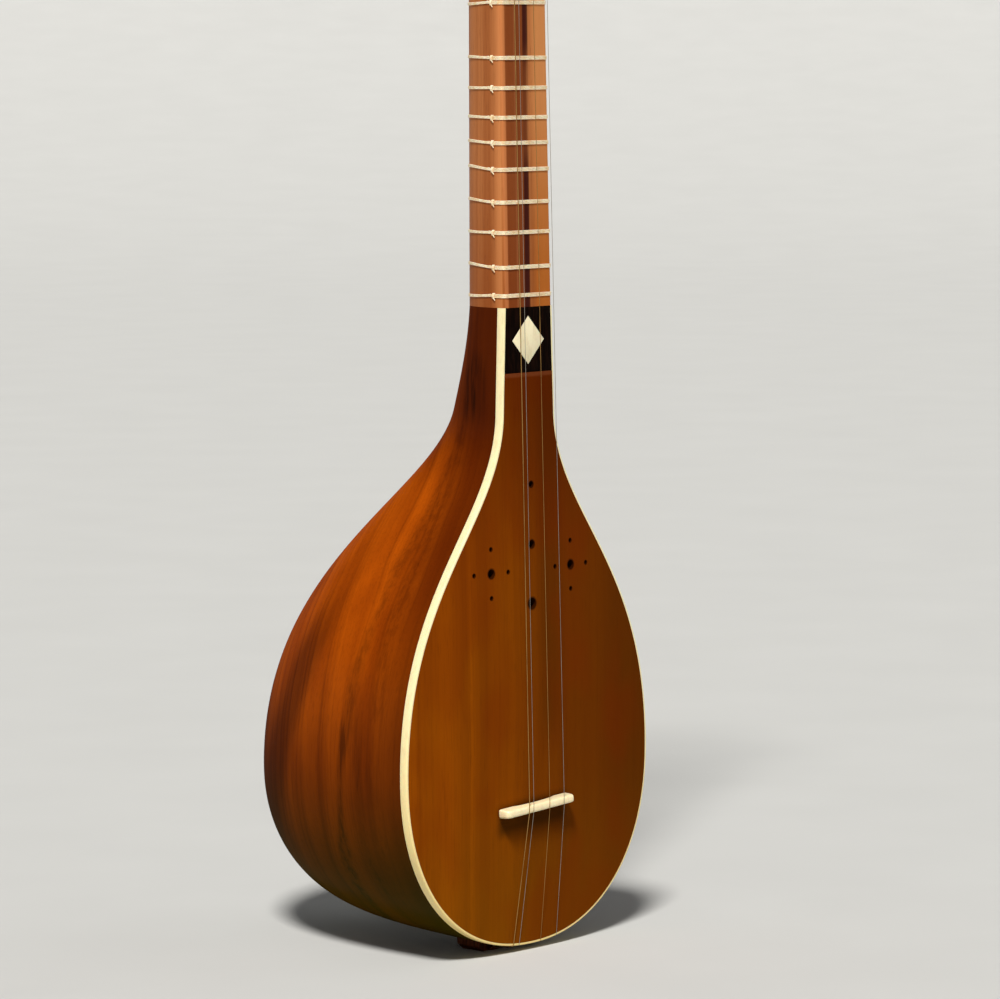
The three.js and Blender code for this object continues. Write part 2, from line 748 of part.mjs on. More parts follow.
function stringRoute(i) {
  const clear = stringBodyRadius + glueGap;
  const [bridgeX, nutX, tailX] = [stringAtBridge[i], stringAtNut[i], stringAtTail[i]];
  const edgeX = mix(tailX, bridgeX, edgeShare);
  const edgeHeight = edgeHeightAt(edgeX);
  const crest = -bridgeFront - glueGap / 2;
  const nutCrest = neckSetback - nutProud - glueGap / 2;
  const route = [
    new THREE.Vector3(tailX, tailSetback + tailDepth + knotRadius, tailHoleHeight),
    new THREE.Vector3(tailX, tailSetback, tailHoleHeight),
    new THREE.Vector3(edgeX, bindingChamfer, edgeHeight - clear),
    new THREE.Vector3(edgeX, -clear, edgeHeight + bindingWidth),
    new THREE.Vector3(bridgeX, crest, bridgeHeight),
    new THREE.Vector3(nutX, nutCrest, nutHeight + nutThick / 2),
  ];
  const place = pegPlaces[i];
  const coil = pegRadius + clear;
  const start = pegNeckLength / 2 - (windingTurns * windingPitch) / 2;
  const front = i < 2;
  const away = front ? place.root.y - start : place.root.x - start;
  const centre = front
    ? new THREE.Vector2(place.root.x, place.root.z)
    : new THREE.Vector2(place.root.y, place.root.z);
  if (!front) route.push(edgeOfHead(route[route.length - 1], place, away, clear));
  const last = route[route.length - 1];
  const from = new THREE.Vector2(front ? last.x : last.y, last.z);
  const sense = front && nutX > place.root.x + pegRadius ? 1 : -1;
  const first = tangentAngle(from, centre, coil, sense);
  for (let step = 0; step <= windingTurns * windingSteps; step++) {
    const turns = step / windingSteps;
    const angle = first + sense * 2 * Math.PI * turns;
    const u = centre.x + coil * Math.cos(angle);
    const z = centre.y + coil * Math.sin(angle);
    const out = away - windingPitch * turns;
    route.push(front ? new THREE.Vector3(u, out, z) : new THREE.Vector3(out, u, z));
  }
  return route;
}

// Where a string to a side peg bends over the head's front left edge
function edgeOfHead(nutPoint, place, away, clear) {
  const side = -neckSizes(place.root.z).half - clear;
  const frontRun = nutPoint.x - side;
  const sideRun = Math.hypot(side - away, sidePegDepth);
  const height = mix(nutPoint.z, place.root.z, frontRun / (frontRun + sideRun));
  return new THREE.Vector3(side, neckSizes(height).face - clear, height);
}

// Height of the binding's lower edge at a distance from the middle
function edgeHeightAt(x) {
  const reach = Math.abs(x) / (bowlWidth / 2);
  return bellyHeight * (1 - (1 - reach ** frontRoundPower) ** (1 / frontRoundPower));
}

// A curve whose steps are the route's own points
class Route extends THREE.Curve {
  constructor(points) {
    super();
    this.points = points;
  }
  getPoint(t) {
    return this.points[Math.round(t * (this.points.length - 1))].clone();
  }
  getPointAt(t) {
    return this.getPoint(t);
  }
  getTangentAt(t) {
    const i = Math.round(t * (this.points.length - 1));
    const before = this.points[Math.max(i - 1, 0)];
    const after = this.points[Math.min(i + 1, this.points.length - 1)];
    const here = this.points[i];
    const into = new THREE.Vector3().subVectors(here, before).normalize();
    const onward = new THREE.Vector3().subVectors(after, here).normalize();
    return into.add(onward).normalize();
  }
  getSpacedPoints(divisions) {
    return this.getPoints(divisions);
  }
}

function makeString(i) {
  const route = stringRoute(i);
  const section = new THREE.Shape();
  for (let k = 0; k < stringSides; k++) {
    const angle = (2 * Math.PI * k) / stringSides;
    const [x, y] = [stringBodyRadius * Math.cos(angle), stringBodyRadius * Math.sin(angle)];
    if (k) section.lineTo(x, y);
    else section.moveTo(x, y);
  }
  const tube = new THREE.ExtrudeGeometry(section, {
    steps: route.length - 1,
    extrudePath: new Route(route),
    bevelEnabled: false,
  });
  const knot = new THREE.SphereGeometry(knotRadius, 6, 4);
  knot.translate(route[0].x, route[0].y + knotRadius / 2, route[0].z);
  return join(solidOf(tube), solidOf(knot));
}

// Least gap between a winding's neighbouring turns
console.log("least gap of a string to itself", (windingPitch - 2 * stringBodyRadius).toFixed(2));

// Assembly, moved so that the middle of the tailpiece's flat foot is the origin
const setar = new THREE.Group();
const instrument = new THREE.Group();
instrument.position.set(0, -(tailSetback + tailDepth / 2), tailStand);
setar.add(instrument);

function add(name, solid, material) {
  const mesh = new THREE.Mesh(geometryOf(solid), material);
  mesh.name = name;
  instrument.add(mesh);
}

add("bowl", makeBowl(), mulberry);
add("soundboard", makeSoundboard(), boardWood);
add("binding", makeBinding(), bone);
add("inlay_plate", makeInlayPlate(), ebony);
add("inlay_diamond", makeDiamond(), bone);
add("neck", makeNeck(), walnut);
add("bridge", makeBridge(), bone);
add("nut", makeNut(), bone);
add("tailpiece", makeTailpiece(), pegWood);

fretHeights.forEach((height, i) => {
  add(`fret_${String(i + 1).padStart(2, "0")}`, makeFret(height), gut);
});

pegPlaces.forEach((place, i) => {
  const reach = i < 2 ? pegThrough : neckWidthNut + pegTipProud;
  add(`peg_${i + 1}`, makePeg(place, reach), pegWood);
  add(`peg_button_${i + 1}`, makeButton(place), bone);
});

stringNames.forEach((name, i) => {
  add(name, makeString(i), i % 2 ? bronze : steel);
});

export default setar;
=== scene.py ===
# %% [markdown]
# This lesson dresses a setar, a long-necked Persian lute, in Blender.
# Its packed solids come in as a fixed frame: they settle where each piece is, and what moves with what.
# Each cell then makes one piece or one finish with mesh code and shader nodes.
# The solids are faceted, so most pieces are made again from the same measures, finer and smoother.

import math
import random

import bpy
from mathutils import Matrix, Vector


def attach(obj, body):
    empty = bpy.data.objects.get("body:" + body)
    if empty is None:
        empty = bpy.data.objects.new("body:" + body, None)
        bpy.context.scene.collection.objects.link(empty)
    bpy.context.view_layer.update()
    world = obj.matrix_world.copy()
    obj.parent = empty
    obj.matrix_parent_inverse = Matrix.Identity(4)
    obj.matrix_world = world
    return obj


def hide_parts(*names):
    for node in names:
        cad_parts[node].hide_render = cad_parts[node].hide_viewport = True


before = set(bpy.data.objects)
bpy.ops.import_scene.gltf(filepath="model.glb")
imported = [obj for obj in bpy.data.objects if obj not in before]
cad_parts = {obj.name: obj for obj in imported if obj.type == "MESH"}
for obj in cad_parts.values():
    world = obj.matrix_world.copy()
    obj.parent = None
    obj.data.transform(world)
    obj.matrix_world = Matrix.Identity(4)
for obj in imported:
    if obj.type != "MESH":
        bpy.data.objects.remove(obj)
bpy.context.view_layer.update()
chance = random.Random(7)

# %% [markdown]
# The measures below are in millimetres, as an instrument maker would write them.
# x runs to the right of someone who looks at the soundboard, y runs back from the soundboard's edge,
# and z runs up the neck from the bottom of the front outline.
# The frame's own origin is under the tailpiece, so `at` moves each point there and turns it into metres.

# %% Measures
MM = 0.001
TAIL_SETBACK, TAIL_DEPTH, TAIL_STAND = 13, 12, 2.8


def at(x, y, z):
    return Vector((x, y - TAIL_SETBACK - TAIL_DEPTH / 2, z + TAIL_STAND)) * MM


BOWL_LENGTH, BOWL_WIDTH, BOWL_DEPTH = 284.5, 160.2, 141.7
BELLY, KEEL, THROAT = 82.5, 67.5, 239
THROAT_WIDTH, THROAT_DEPTH = 34.6, 40.7
JOINT_WIDTH, JOINT_DEPTH = 31.6, 31
NUT_WIDTH, NUT_DEPTH, NUT_SETBACK = 26, 23.5, 7
HEAD_WIDTH, HEAD_DEPTH, HEAD_LENGTH = 24.6, 21.5, 118
CENTS = (
    90, 140, 204, 294, 350, 408, 498, 555, 640, 702, 792, 850, 906, 996, 1050,
    1091, 1213, 1283, 1355, 1419, 1489, 1579, 1667, 1774, 1866,
)
INLAY_BASE = BOWL_LENGTH - 0.3 - 28.6
HOLES = [(0, 153, 4.8), (0, 179.4, 3.6), (0, 206, 2.8)]
for side in (-26.4, 26.4):
    HOLES.append((side, 168.2, 4))
    HOLES += [(side + dx, 168.2 + dz, 1.9) for dx, dz in ((10.8, 0), (-10.8, 0), (0, 10.8), (0, -10.8))]
BRIDGE, LAST_FRET_GAP = 62.5, 5.3
BRIDGE_TURN = math.radians(3.4)
BRIDGE_TILT = math.tan(BRIDGE_TURN)
STRING_LENGTH = (BOWL_LENGTH + LAST_FRET_GAP - BRIDGE) * 2 ** (CENTS[-1] / 1200)
NUT = BRIDGE + STRING_LENGTH
HEAD_TOP = NUT + HEAD_LENGTH
SECTION_POWER = 2.2
print("bowl to head:", HEAD_TOP + TAIL_STAND, "mm")

# %% [markdown]
# The camera comes first. It stands where the photograph's stood: 48 degrees round to the left of the soundboard
# and about 5 degrees above it, more than two metres away behind a long lens.
# Its place was solved from the outline of the soundboard, so it needs no shift.

# %% Camera
AZIMUTH, PITCH, ROLL = map(math.radians, (48, 5.372, -0.224))
look = Vector((
    math.sin(AZIMUTH) * math.cos(PITCH), math.cos(AZIMUTH) * math.cos(PITCH), -math.sin(PITCH),
))
level = Vector((math.cos(AZIMUTH), -math.sin(AZIMUTH), 0))
upward = level.cross(look)
right = level * math.cos(ROLL) + upward * math.sin(ROLL)
up = upward * math.cos(ROLL) - level * math.sin(ROLL)

camera_data = bpy.data.cameras.new("camera")
camera_data.sensor_width = 36
camera_data.lens = 36 * 4995 / 1000
camera = bpy.data.objects.new("camera", camera_data)
camera.matrix_world = Matrix((
    (right.x, up.x, -look.x, 0), (right.y, up.y, -look.y, 0), (right.z, up.z, -look.z, 0), (0, 0, 0, 1),
))
camera.location = at(-1644.85, -1463.87, 406.23)
camera_data.clip_end = 50
bpy.context.scene.collection.objects.link(camera)
bpy.context.scene.camera = camera
print("lens:", round(camera_data.lens, 1), "mm")

# %% [markdown]
# The studio is plain, so that the wood does the talking. The key light is a sun with a very wide disc, high and
# a little left of the camera: it lights the whole floor alike and throws one soft shadow. A second, weaker one
# comes from the far right to lift the neck's back and the bowl's dark side.

# %% Lights
def soft_sun(name, azimuth, elevation, strength, disc, tint=(1, 1, 1)):
    a, e = math.radians(azimuth), math.radians(elevation)
    away = Vector((math.sin(a) * math.cos(e), -math.cos(a) * math.cos(e), math.sin(e)))
    data = bpy.data.lights.new(name, "SUN")
    data.energy = strength
    data.angle = math.radians(disc)
    data.color = tint
    lamp = bpy.data.objects.new(name, data)
    lamp.rotation_mode = "QUATERNION"
    lamp.rotation_quaternion = (-away).to_track_quat("-Z", "Y")
    bpy.context.scene.collection.objects.link(lamp)
    return lamp


soft_sun("key", -54, 53, 3.85, 11, (1, 0.98, 0.95))
soft_sun("fill", 62, 34, 0.22, 60)

bpy.context.scene.view_settings.view_transform = "Standard"

# %% [markdown]
# Shader maths is easier to read as sums than as boxes and wires.
# `Wire` wraps one output socket: an operator between wires, or between a wire and a number, adds the Math node
# that works it out. Vectors and colours go through Vector Math and Mix nodes, since a Math node would turn a
# colour grey. `node` adds any other kind of node: its settings are set first, then its sockets.

# %% Shader maths
class Wire:
    def __init__(self, tree, socket):
        self.tree, self.socket = tree, socket

    def node(self, kind, settings=None, output=0, **values):
        made = self.tree.nodes.new(kind)
        for name, value in (settings or {}).items():
            if name == "stops":
                set_stops(made.color_ramp, value)
            else:
                setattr(made, name, value)
        for name, value in values.items():
            plug(self.tree, made.inputs, name, value)
        return Wire(self.tree, made.outputs[output])

    def is_vector(self):
        return self.socket.type in {"VECTOR", "RGBA"}

    def sum(self, operation, first, second=None):
        if any(isinstance(v, Wire) and v.is_vector() for v in (first, second)):
            if operation == "MULTIPLY" and not (isinstance(first, Wire) and first.is_vector()):
                first, second = second, first
            if operation == "MULTIPLY" and not (isinstance(second, Wire) and second.is_vector()):
                if not isinstance(second, (tuple, list)):
                    return self.node("ShaderNodeVectorMath", {"operation": "SCALE"}, _0=first, Scale=second)
            return self.node("ShaderNodeVectorMath", {"operation": operation}, _0=first, _1=second)
        values = {"_0": first} if second is None else {"_0": first, "_1": second}
        return self.node("ShaderNodeMath", {"operation": operation}, **values)

    def __add__(self, other):
        return self.sum("ADD", self, other)

    def __radd__(self, other):
        return self.sum("ADD", other, self)

    def __sub__(self, other):
        return self.sum("SUBTRACT", self, other)

    def __rsub__(self, other):
        return self.sum("SUBTRACT", other, self)

    def __mul__(self, other):
        return self.sum("MULTIPLY", self, other)

    def __rmul__(self, other):
        return self.sum("MULTIPLY", other, self)

    def __truediv__(self, other):
        return self.sum("DIVIDE", self, other)

    def __rtruediv__(self, other):
        return self.sum("DIVIDE", other, self)

    def __pow__(self, other):
        return self.sum("POWER", self, other)

    def __neg__(self):
        return 0 - self

    def __abs__(self):
        return self.sum("ABSOLUTE", self)


def plug(tree, inputs, name, value):
    target = inputs[int(name[1:])] if name[0] == "_" and name[1:].isdigit() else inputs[name.replace("_", " ")]
    if isinstance(value, Wire):
        tree.links.new(value.socket, target)
    elif isinstance(value, (int, float)) and target.type == "VECTOR":
        target.default_value = (value, value, value)
    else:
        target.default_value = value


def set_stops(ramp, stops):
    while len(ramp.elements) < len(stops):
        ramp.elements.new(0.5)
    for element, (place, color) in zip(ramp.elements, stops):
        element.position, element.color = place, color


print("operators on a wire:", [name.strip("_") for name in vars(Wire) if name.startswith("__")][2:])

# %% [markdown]
# A few helpers turn wires into the things that a finish is made of: a smooth step, a mix of two colours, noise
# stretched along the grain, and the surface itself. Colours are written as a painter reads them, 0 to 255,
# and `tone` turns them into the linear light that shaders work in.

# %% Finish helpers
def tone(r, g, b):
    def linear(value):
        share = value / 255
        return share / 12.92 if share <= 0.04045 else ((share + 0.055) / 1.055) ** 2.4

    return (linear(r), linear(g), linear(b), 1)


def start(name):
    material = bpy.data.materials.new(name)
    material.use_nodes = True
    material.node_tree.nodes.clear()
    tree = material.node_tree
    place = tree.nodes.new("ShaderNodeTexCoord")
    return material, Wire(tree, place.outputs["Object"]) * 1000


def split(wire):
    return [wire.node("ShaderNodeSeparateXYZ", output=i, Vector=wire) for i in range(3)]


def smooth_step(wire, low, high):
    return wire.node(
        "ShaderNodeMapRange", {"interpolation_type": "SMOOTHSTEP"}, Value=wire, From_Min=low, From_Max=high,
    )


def blend(share, first, second):
    made = share.tree.nodes.new("ShaderNodeMix")
    made.data_type = "RGBA"
    plug(share.tree, made.inputs, "_0", share)
    plug(share.tree, made.inputs, "_6", first)
    plug(share.tree, made.inputs, "_7", second)
    return Wire(share.tree, made.outputs[2])


def noise(place, stretch, scale=1.0, detail=3.0, roughness=0.5, distortion=0.0):
    return place.node(
        "ShaderNodeTexNoise", {"noise_dimensions": "3D"}, Vector=place * stretch, Scale=scale,
        Detail=detail, Roughness=roughness, Distortion=distortion,
    )


def surface(material, wire, color, roughness, bump=None, bump_depth=0.05, bump_strength=1.0, **constants):
    tree = material.node_tree
    shader = tree.nodes.new("ShaderNodeBsdfPrincipled")
    plug(tree, shader.inputs, "Base Color", color)
    plug(tree, shader.inputs, "Roughness", roughness)
    for name, value in constants.items():
        plug(tree, shader.inputs, name, value)
    if bump is not None:
        normal = wire.node("ShaderNodeBump", Height=bump, Distance=bump_depth * MM, Strength=bump_strength)
        tree.links.new(normal.socket, shader.inputs["Normal"])
    end = tree.nodes.new("ShaderNodeOutputMaterial")
    tree.links.new(shader.outputs[0], end.inputs["Surface"])
    print("finish:", material.name, len(tree.nodes), "nodes")
    return material


# %% [markdown]
# The bowl is one block of mulberry, carved and polished. A growth ring is a tube round the tree's heart, and this
# block came from well outside it, so its rings are nearly flat sheets that lie parallel to the soundboard.
# Where the round side cuts them they show as dark lines that run from the throat to the tail, bent like the
# bowl itself. Some stand out in the photograph: a broad soft vein far back, and two fine ones full of short
# dark flecks nearer the edge. The throat is darker. Shade is painted into the colour: darker along the front
# rim, at the back, over the upper shoulder and towards the bottom, where a green tint is painted in as reflected light.

# %% Mulberry
TREE_HEART, RING_OVAL = 260, 0.35


def near(wire, middle, inner, outer):
    return 1 - smooth_step(abs(wire - middle), inner, outer)


def mulberry():
    material, place = start("mulberry")
    x, y, z = split(place)
    behind = y + TAIL_SETBACK + TAIL_DEPTH / 2 + TREE_HEART
    bend = noise(place, (1, 1, 0.35), 0.018, 2) - 0.5
    ring = (x * x * RING_OVAL + behind * behind) ** 0.5 - TREE_HEART + bend * 15
    along = z * 0.003
    lines = noise(ring.node("ShaderNodeCombineXYZ", X=ring * 0.3, Y=along, Z=0.0), (1, 1, 1), 1.0, 5, 0.65)
    broad = noise(ring.node("ShaderNodeCombineXYZ", X=ring * 0.06, Y=along, Z=4.0), (1, 1, 1), 1.0, 2)
    cloud = noise(place, (1, 1, 0.5), 0.022, 3)
    pores = noise(place, (1, 1, 0.09), 1.1, 2, 0.6)
    dashes = smooth_step(noise(place, (1, 1, 0.1), 0.42, 3, 0.6), 0.4, 0.64)
    color = blend(smooth_step(broad * 0.5 + cloud * 0.5, 0.38, 0.6), tone(136, 54, 3), tone(176, 78, 6))
    color = blend(smooth_step(lines, 0.47, 0.68) * 0.45, color, tone(98, 36, 2))
    vein = near(ring + z * 0.4, 133, 4, 18) * (1 - smooth_step(z, 132, 170) * 0.8)
    color = blend(vein * (lines * 0.6 + 0.35), color, tone(56, 17, 2))
    # Painted shade: darker colour towards the back of the bowl, more so low down.
    back = smooth_step(ring, 98, 124) * 0.3 + smooth_step(ring, 84, 100) * (1 - smooth_step(z, 84, 120)) * 0.3
    color = blend(back, color, tone(66, 22, 2))
    low = 1 - smooth_step(z, 84, 140) * 0.5
    ragged = (noise(place, (1, 1, 0.15), 0.1, 3, 0.6) - 0.5) * 8
    streak = near(ring + ragged + z * 0.14, 57, 0.5, 5.5)
    streak = streak + near(ring - ragged, 34, 0.5, 4) * (1 - smooth_step(z, 96, 130)) * 0.7
    color = blend(streak * low * (dashes * 0.45 + 0.32), color, tone(46, 15, 2))
    color = blend(near(ring - ragged, 23, 1, 5) * (dashes * 0.25 + 0.1), color, tone(62, 20, 2))
    color = blend(smooth_step(pores, 0.45, 0.75) * 0.2, color, tone(54, 20, 2))
    # Painted shade: darker colour along the front rim.
    color = blend((1 - smooth_step(ring, 4, 38)) * 0.6, color, tone(72, 27, 2))
    # Painted shade over the upper shoulder, near the front rim.
    painted_shoulder_shade = (1 - smooth_step(ring, 7, 42)) * smooth_step(z, 125, 200)
    color = blend(painted_shoulder_shade * 0.62, color, tone(66, 16, 2))
    # Painted shade towards the bottom, then a green tint low down that stands for reflected green light.
    color = blend((1 - smooth_step(z, 66, 158)) * 0.62, color, tone(56, 22, 2))
    color = blend((1 - smooth_step(z, 14, 92)) * 0.7, color, tone(31, 46, 5))
    color = blend(smooth_step(z, 206, 240) * 0.45, color, tone(50, 13, 2))
    scar = near(ring, 17, 2, 9) * near(z, 252, 6, 20)
    color = blend(scar * (dashes * 0.5 + 0.25), color, tone(26, 8, 2))
    rough = 0.44 + pores * 0.12
    return surface(
        material, place, color, rough, pores * 0.5 + lines * 0.5, 0.05, 0.2,
        Coat_Weight=0.035, Coat_Roughness=0.24, Specular_IOR_Level=0.0,
    )


# %% [markdown]
# The soundboard is a thin sheet of mulberry too, but sawn flat, so its grain is straight: fine lines that run
# from the neck to the tail, in broad bands of slightly different brown. It has been rubbed, so it shines less.

# %% Soundboard wood
def board_wood():
    material, place = start("soundboard_wood")
    wander = (noise(place, (1, 1, 1), 0.012, 2) - 0.5) * 5
    x, y, z = split(place)
    line = x + wander
    fine = noise(line.node("ShaderNodeCombineXYZ", X=line, Y=z * 0.004, Z=0.0), (1, 1, 1), 0.8, 4, 0.65)
    bands = noise(line.node("ShaderNodeCombineXYZ", X=line, Y=z * 0.004, Z=9.0), (1, 1, 1), 0.085, 3, 0.6)
    pores = noise(place, (1, 1, 0.06), 1.6, 2, 0.6)
    # Painted shade: the board's colour darkens towards the right, where the light falls off.
    painted_shade_right = smooth_step(x, -62, 38)
    color = blend(painted_shade_right, tone(146, 72, 2), tone(104, 49, 2))
    color = blend(smooth_step(bands, 0.36, 0.66) * 0.5, color, tone(98, 44, 2))
    color = blend(smooth_step(fine, 0.5, 0.74) * 0.35, color, tone(86, 37, 2))
    color = blend(smooth_step(pores, 0.5, 0.8) * 0.3, color, tone(70, 30, 2))
    color = blend(near(line, 12, 2, 11) * smooth_step(z, 80, 112) * 0.42, color, tone(66, 30, 2))
    # More painted shade at the right edge.
    color = blend(smooth_step(x, 40, 62) * 0.4, color, tone(66, 32, 2))
    # Painted reflection: a greener tint towards the bottom stands for green light thrown up from the floor.
    color = blend((1 - smooth_step(z, 10, 90)) * 0.3, color, tone(112, 74, 4))
    red = smooth_step(noise(place, (1, 1, 0.6), 0.03, 2), 0.42, 0.66) + smooth_step(z, 150, 235) * 0.8
    color = blend(red * 0.35, color, tone(110, 36, 2))
    color = blend(smooth_step(z, 170, 245) * 0.45, color, tone(62, 18, 1))
    for hole_x, hole_z, size in HOLES:
        from_hole = ((x - hole_x) * (x - hole_x) + (z - hole_z - TAIL_STAND) * (z - hole_z - TAIL_STAND)) ** 0.5
        scorch = near(from_hole, 0, size / 2 - 0.1, size / 2 + 0.25 * size)
        color = blend(scorch * 0.9, color, tone(24, 7, 2))
    # Painted shadow: a dark band on the board just under the bridge.
    below = x * BRIDGE_TILT + BRIDGE + TAIL_STAND - 2 - z
    painted_bridge_shadow = near(below, 2, 3, 10) * near(x, 0, 19, 25)
    color = blend(painted_bridge_shadow * 0.72, color, tone(36, 22, 2))
    worn = smooth_step(z, INLAY_BASE + TAIL_STAND - 2.4, INLAY_BASE + TAIL_STAND - 1.2)
    color = blend(worn * 0.4, color, tone(128, 70, 40))
    rough = 0.45 + fine * 0.16
    return surface(
        material, place, color, rough, fine * 0.6 + pores * 0.4, 0.05, 0.3,
        Coat_Weight=0.02, Coat_Roughness=0.25, Specular_IOR_Level=0.0,
    )


# %% [markdown]
# The neck is walnut, paler and redder than the bowl, with long straight grain.
# On its flat front the photograph shows a dark stripe down the middle and a paler right half:
# these are bands of the wood, so they follow x, and the stripe comes and goes along the neck.

# %% Neck wood
def neck_wood():
    material, place = start("neck_wood")
    wander = (noise(place, (1, 1, 0.3), 0.02, 2) - 0.5) * 3
    x, y, z = split(place)
    line = x + wander
    depth = y + wander
    grain_at = line.node("ShaderNodeCombineXYZ", X=line, Y=depth, Z=z * 0.006)
    fine = noise(grain_at, (1, 1, 1), 0.9, 4, 0.6)
    broad = noise(grain_at, (1, 1, 1), 0.17, 3, 0.6)
    pores = noise(place, (1, 1, 0.07), 1.7, 2, 0.6)
    color = blend(smooth_step(broad, 0.35, 0.65), tone(158, 90, 46), tone(182, 112, 62))
    color = blend(smooth_step(fine, 0.52, 0.72) * 0.4, color, tone(122, 60, 28))
    color = blend((1 - smooth_step(z, 288, 360)) * 0.5, color, tone(128, 58, 8))
    color = blend(smooth_step(pores, 0.52, 0.8) * 0.35, color, tone(92, 42, 20))
    level = y - (z - BOWL_LENGTH - TAIL_STAND) * (NUT_SETBACK / (NUT - BOWL_LENGTH))
    front = 1 - smooth_step(level, -18.5, -17.5)
    left_half = smooth_step(x, -13.6, -12.4) * (1 - smooth_step(x, 0.4, 1.6))
    color = blend(front * left_half * 0.78, color, tone(118, 52, 16))
    color = blend(near(x, -6.5, 0.1, 0.9) * front * 0.3, color, tone(172, 112, 70))
    from_joint = z - BOWL_LENGTH
    stripe_at = near(x + 0.3 - from_joint * 0.006, 0, 1.2, 2.2)
    weaker = near(from_joint, 90, 12, 32) * 0.55
    color = blend(stripe_at * front * (0.9 - weaker), color, tone(48, 6, 8))
    right_part = smooth_step(x, 2.5, 8)
    upper = smooth_step(z, 296, 400)
    color = blend(front * right_part * 0.7, color, blend(upper, tone(186, 104, 34), tone(218, 146, 86)))
    # Painted highlight: the rolled front edges and the sides just behind them are lighter, most of all along the
    # front-left edge.
    color = blend((1 - smooth_step(level, -18, -10)) * (1 - front) * 0.5, color, tone(216, 140, 84))
    painted_edge_highlight = near(x, -13.9, 0.7, 1.5) * (1 - smooth_step(level, -17.6, -15.4))
    color = blend(painted_edge_highlight * 0.5, color, tone(206, 126, 76))
    rough = 0.38 + fine * 0.14
    return surface(
        material, place, color, rough, fine * 0.5 + pores * 0.5, 0.05, 0.3,
        Coat_Weight=0.04, Coat_Roughness=0.22, Specular_IOR_Level=0.03,
    )


# %% [markdown]
# The small dark pieces are ebony and stained walnut. Both are close-grained: a dark base,
# a little lighter along fine streaks, with a satin polish.

# %% Dark woods
def dark_wood(name, deep, pale, rough):
    material, place = start(name)
    streak = noise(place, (1, 1, 0.12), 0.9, 3, 0.6)
    pores = noise(place, (1, 1, 0.1), 2.4, 2, 0.6)
    color = blend(smooth_step(streak, 0.42, 0.7), deep, pale)
    color = blend(smooth_step(pores, 0.55, 0.75) * 0.4, color, deep)
    return surface(
        material, place, color, rough + pores * 0.12, pores, 0.04, 0.3,
        Coat_Weight=0.03, Coat_Roughness=0.25, Specular_IOR_Level=0.0,
    )


# %% [markdown]
# Bone is ivory white with faint long streaks and small grey pits, polished smooth.
# A touch of subsurface light keeps its edges from looking painted. Bone is yellower towards the bottom.

# %% Bone
def bone_finish(name, pale, bottom_tone):
    material, place = start(name)
    x, y, z = split(place)
    streak = noise(place, (1, 1, 0.3), 0.5, 3, 0.6)
    pits = noise(place, (1, 1, 0.5), 2.6, 2, 0.6)
    toward_bottom = 1 - smooth_step(z, 10, 150)
    color = blend(toward_bottom * 0.8, pale, bottom_tone)
    color = blend(smooth_step(streak, 0.45, 0.7) * 0.3, color, tone(214, 190, 140))
    color = blend(smooth_step(pits, 0.62, 0.78) * 0.35, color, tone(160, 128, 84))
    return surface(
        material, place, color, 0.28 + streak * 0.14, pits, 0.03, 0.25,
        Subsurface_Weight=0.12, Subsurface_Scale=0.002,
    )


# %% [markdown]
# Gut is a dried, twisted strand: pale, a little see-through, with a faint diagonal twist
# and darker where fingers have worn it.

# %% Gut
def gut_finish():
    material, place = start("gut")
    x, y, z = split(place)
    twist = (x * 1.6 + y * 1.6 + z * 5.5).sum("SINE", x * 1.6 + y * 1.6 + z * 5.5)
    grime = noise(place, (1, 1, 1), 0.35, 3, 0.6)
    color = blend(smooth_step(grime, 0.4, 0.7), tone(255, 238, 204), tone(244, 212, 164))
    color = blend(smooth_step(twist, 0.2, 1.0) * 0.18, color, tone(176, 132, 82))
    return surface(
        material, place, color, 0.42 + grime * 0.12, twist, 0.03, 0.2,
        Subsurface_Weight=0.1, Subsurface_Scale=0.001,
    )


# %% [markdown]
# The white strings are bright steel and the yellow and bass strings are bronze.
# Drawn wire has fine scratches along its length and a few duller places.

# %% Wire finishes
def wire_finish(name, bright, dull):
    material, place = start(name)
    scratch = noise(place, (1, 1, 0.05), 3.0, 2, 0.6)
    tarnish = noise(place, (1, 1, 1), 0.05, 3, 0.6)
    color = blend(smooth_step(tarnish, 0.45, 0.75) * 0.6, bright, dull)
    return surface(material, place, color, 0.22 + scratch * 0.16, scratch, 0.01, 0.2, Metallic=1.0)


MULBERRY, BOARD, NECK = mulberry(), board_wood(), neck_wood()
EBONY = dark_wood("ebony", tone(11, 5, 3), tone(27, 12, 7), 0.32)
PEG_WOOD = dark_wood("stained_walnut", tone(52, 24, 12), tone(92, 46, 24), 0.3)
BONE = bone_finish("bone", tone(252, 238, 198), tone(248, 228, 176))
STRIP_BONE = bone_finish("yellow_bone_strip", tone(253, 236, 184), tone(244, 212, 126))
GUT = gut_finish()
STEEL = wire_finish("steel_wire", tone(176, 170, 160), tone(126, 120, 110))
BRONZE = wire_finish("bronze_wire", tone(188, 146, 84), tone(132, 92, 48))

# %% [markdown]
# Every piece is made from rings of points. `skin` joins rings into a closed mesh: each ring has as many points
# as the next, and the two ends get a flat cap. Edges sharper than `sharp` degrees stay crisp, the rest are shaded
# smooth. `keep` then gives the piece its finish and its moving body, and hides the solids that it stands for.

# %% Mesh helpers
def from_faces(name, points, faces, sharp=35):
    mesh = bpy.data.meshes.new(name)
    mesh.from_pydata([at(*p) for p in points], [], faces)
    mesh.validate()
    mesh.shade_smooth()
    mesh.set_sharp_from_angle(angle=math.radians(sharp))
    piece = bpy.data.objects.new(name, mesh)
    bpy.context.scene.collection.objects.link(piece)
    return piece


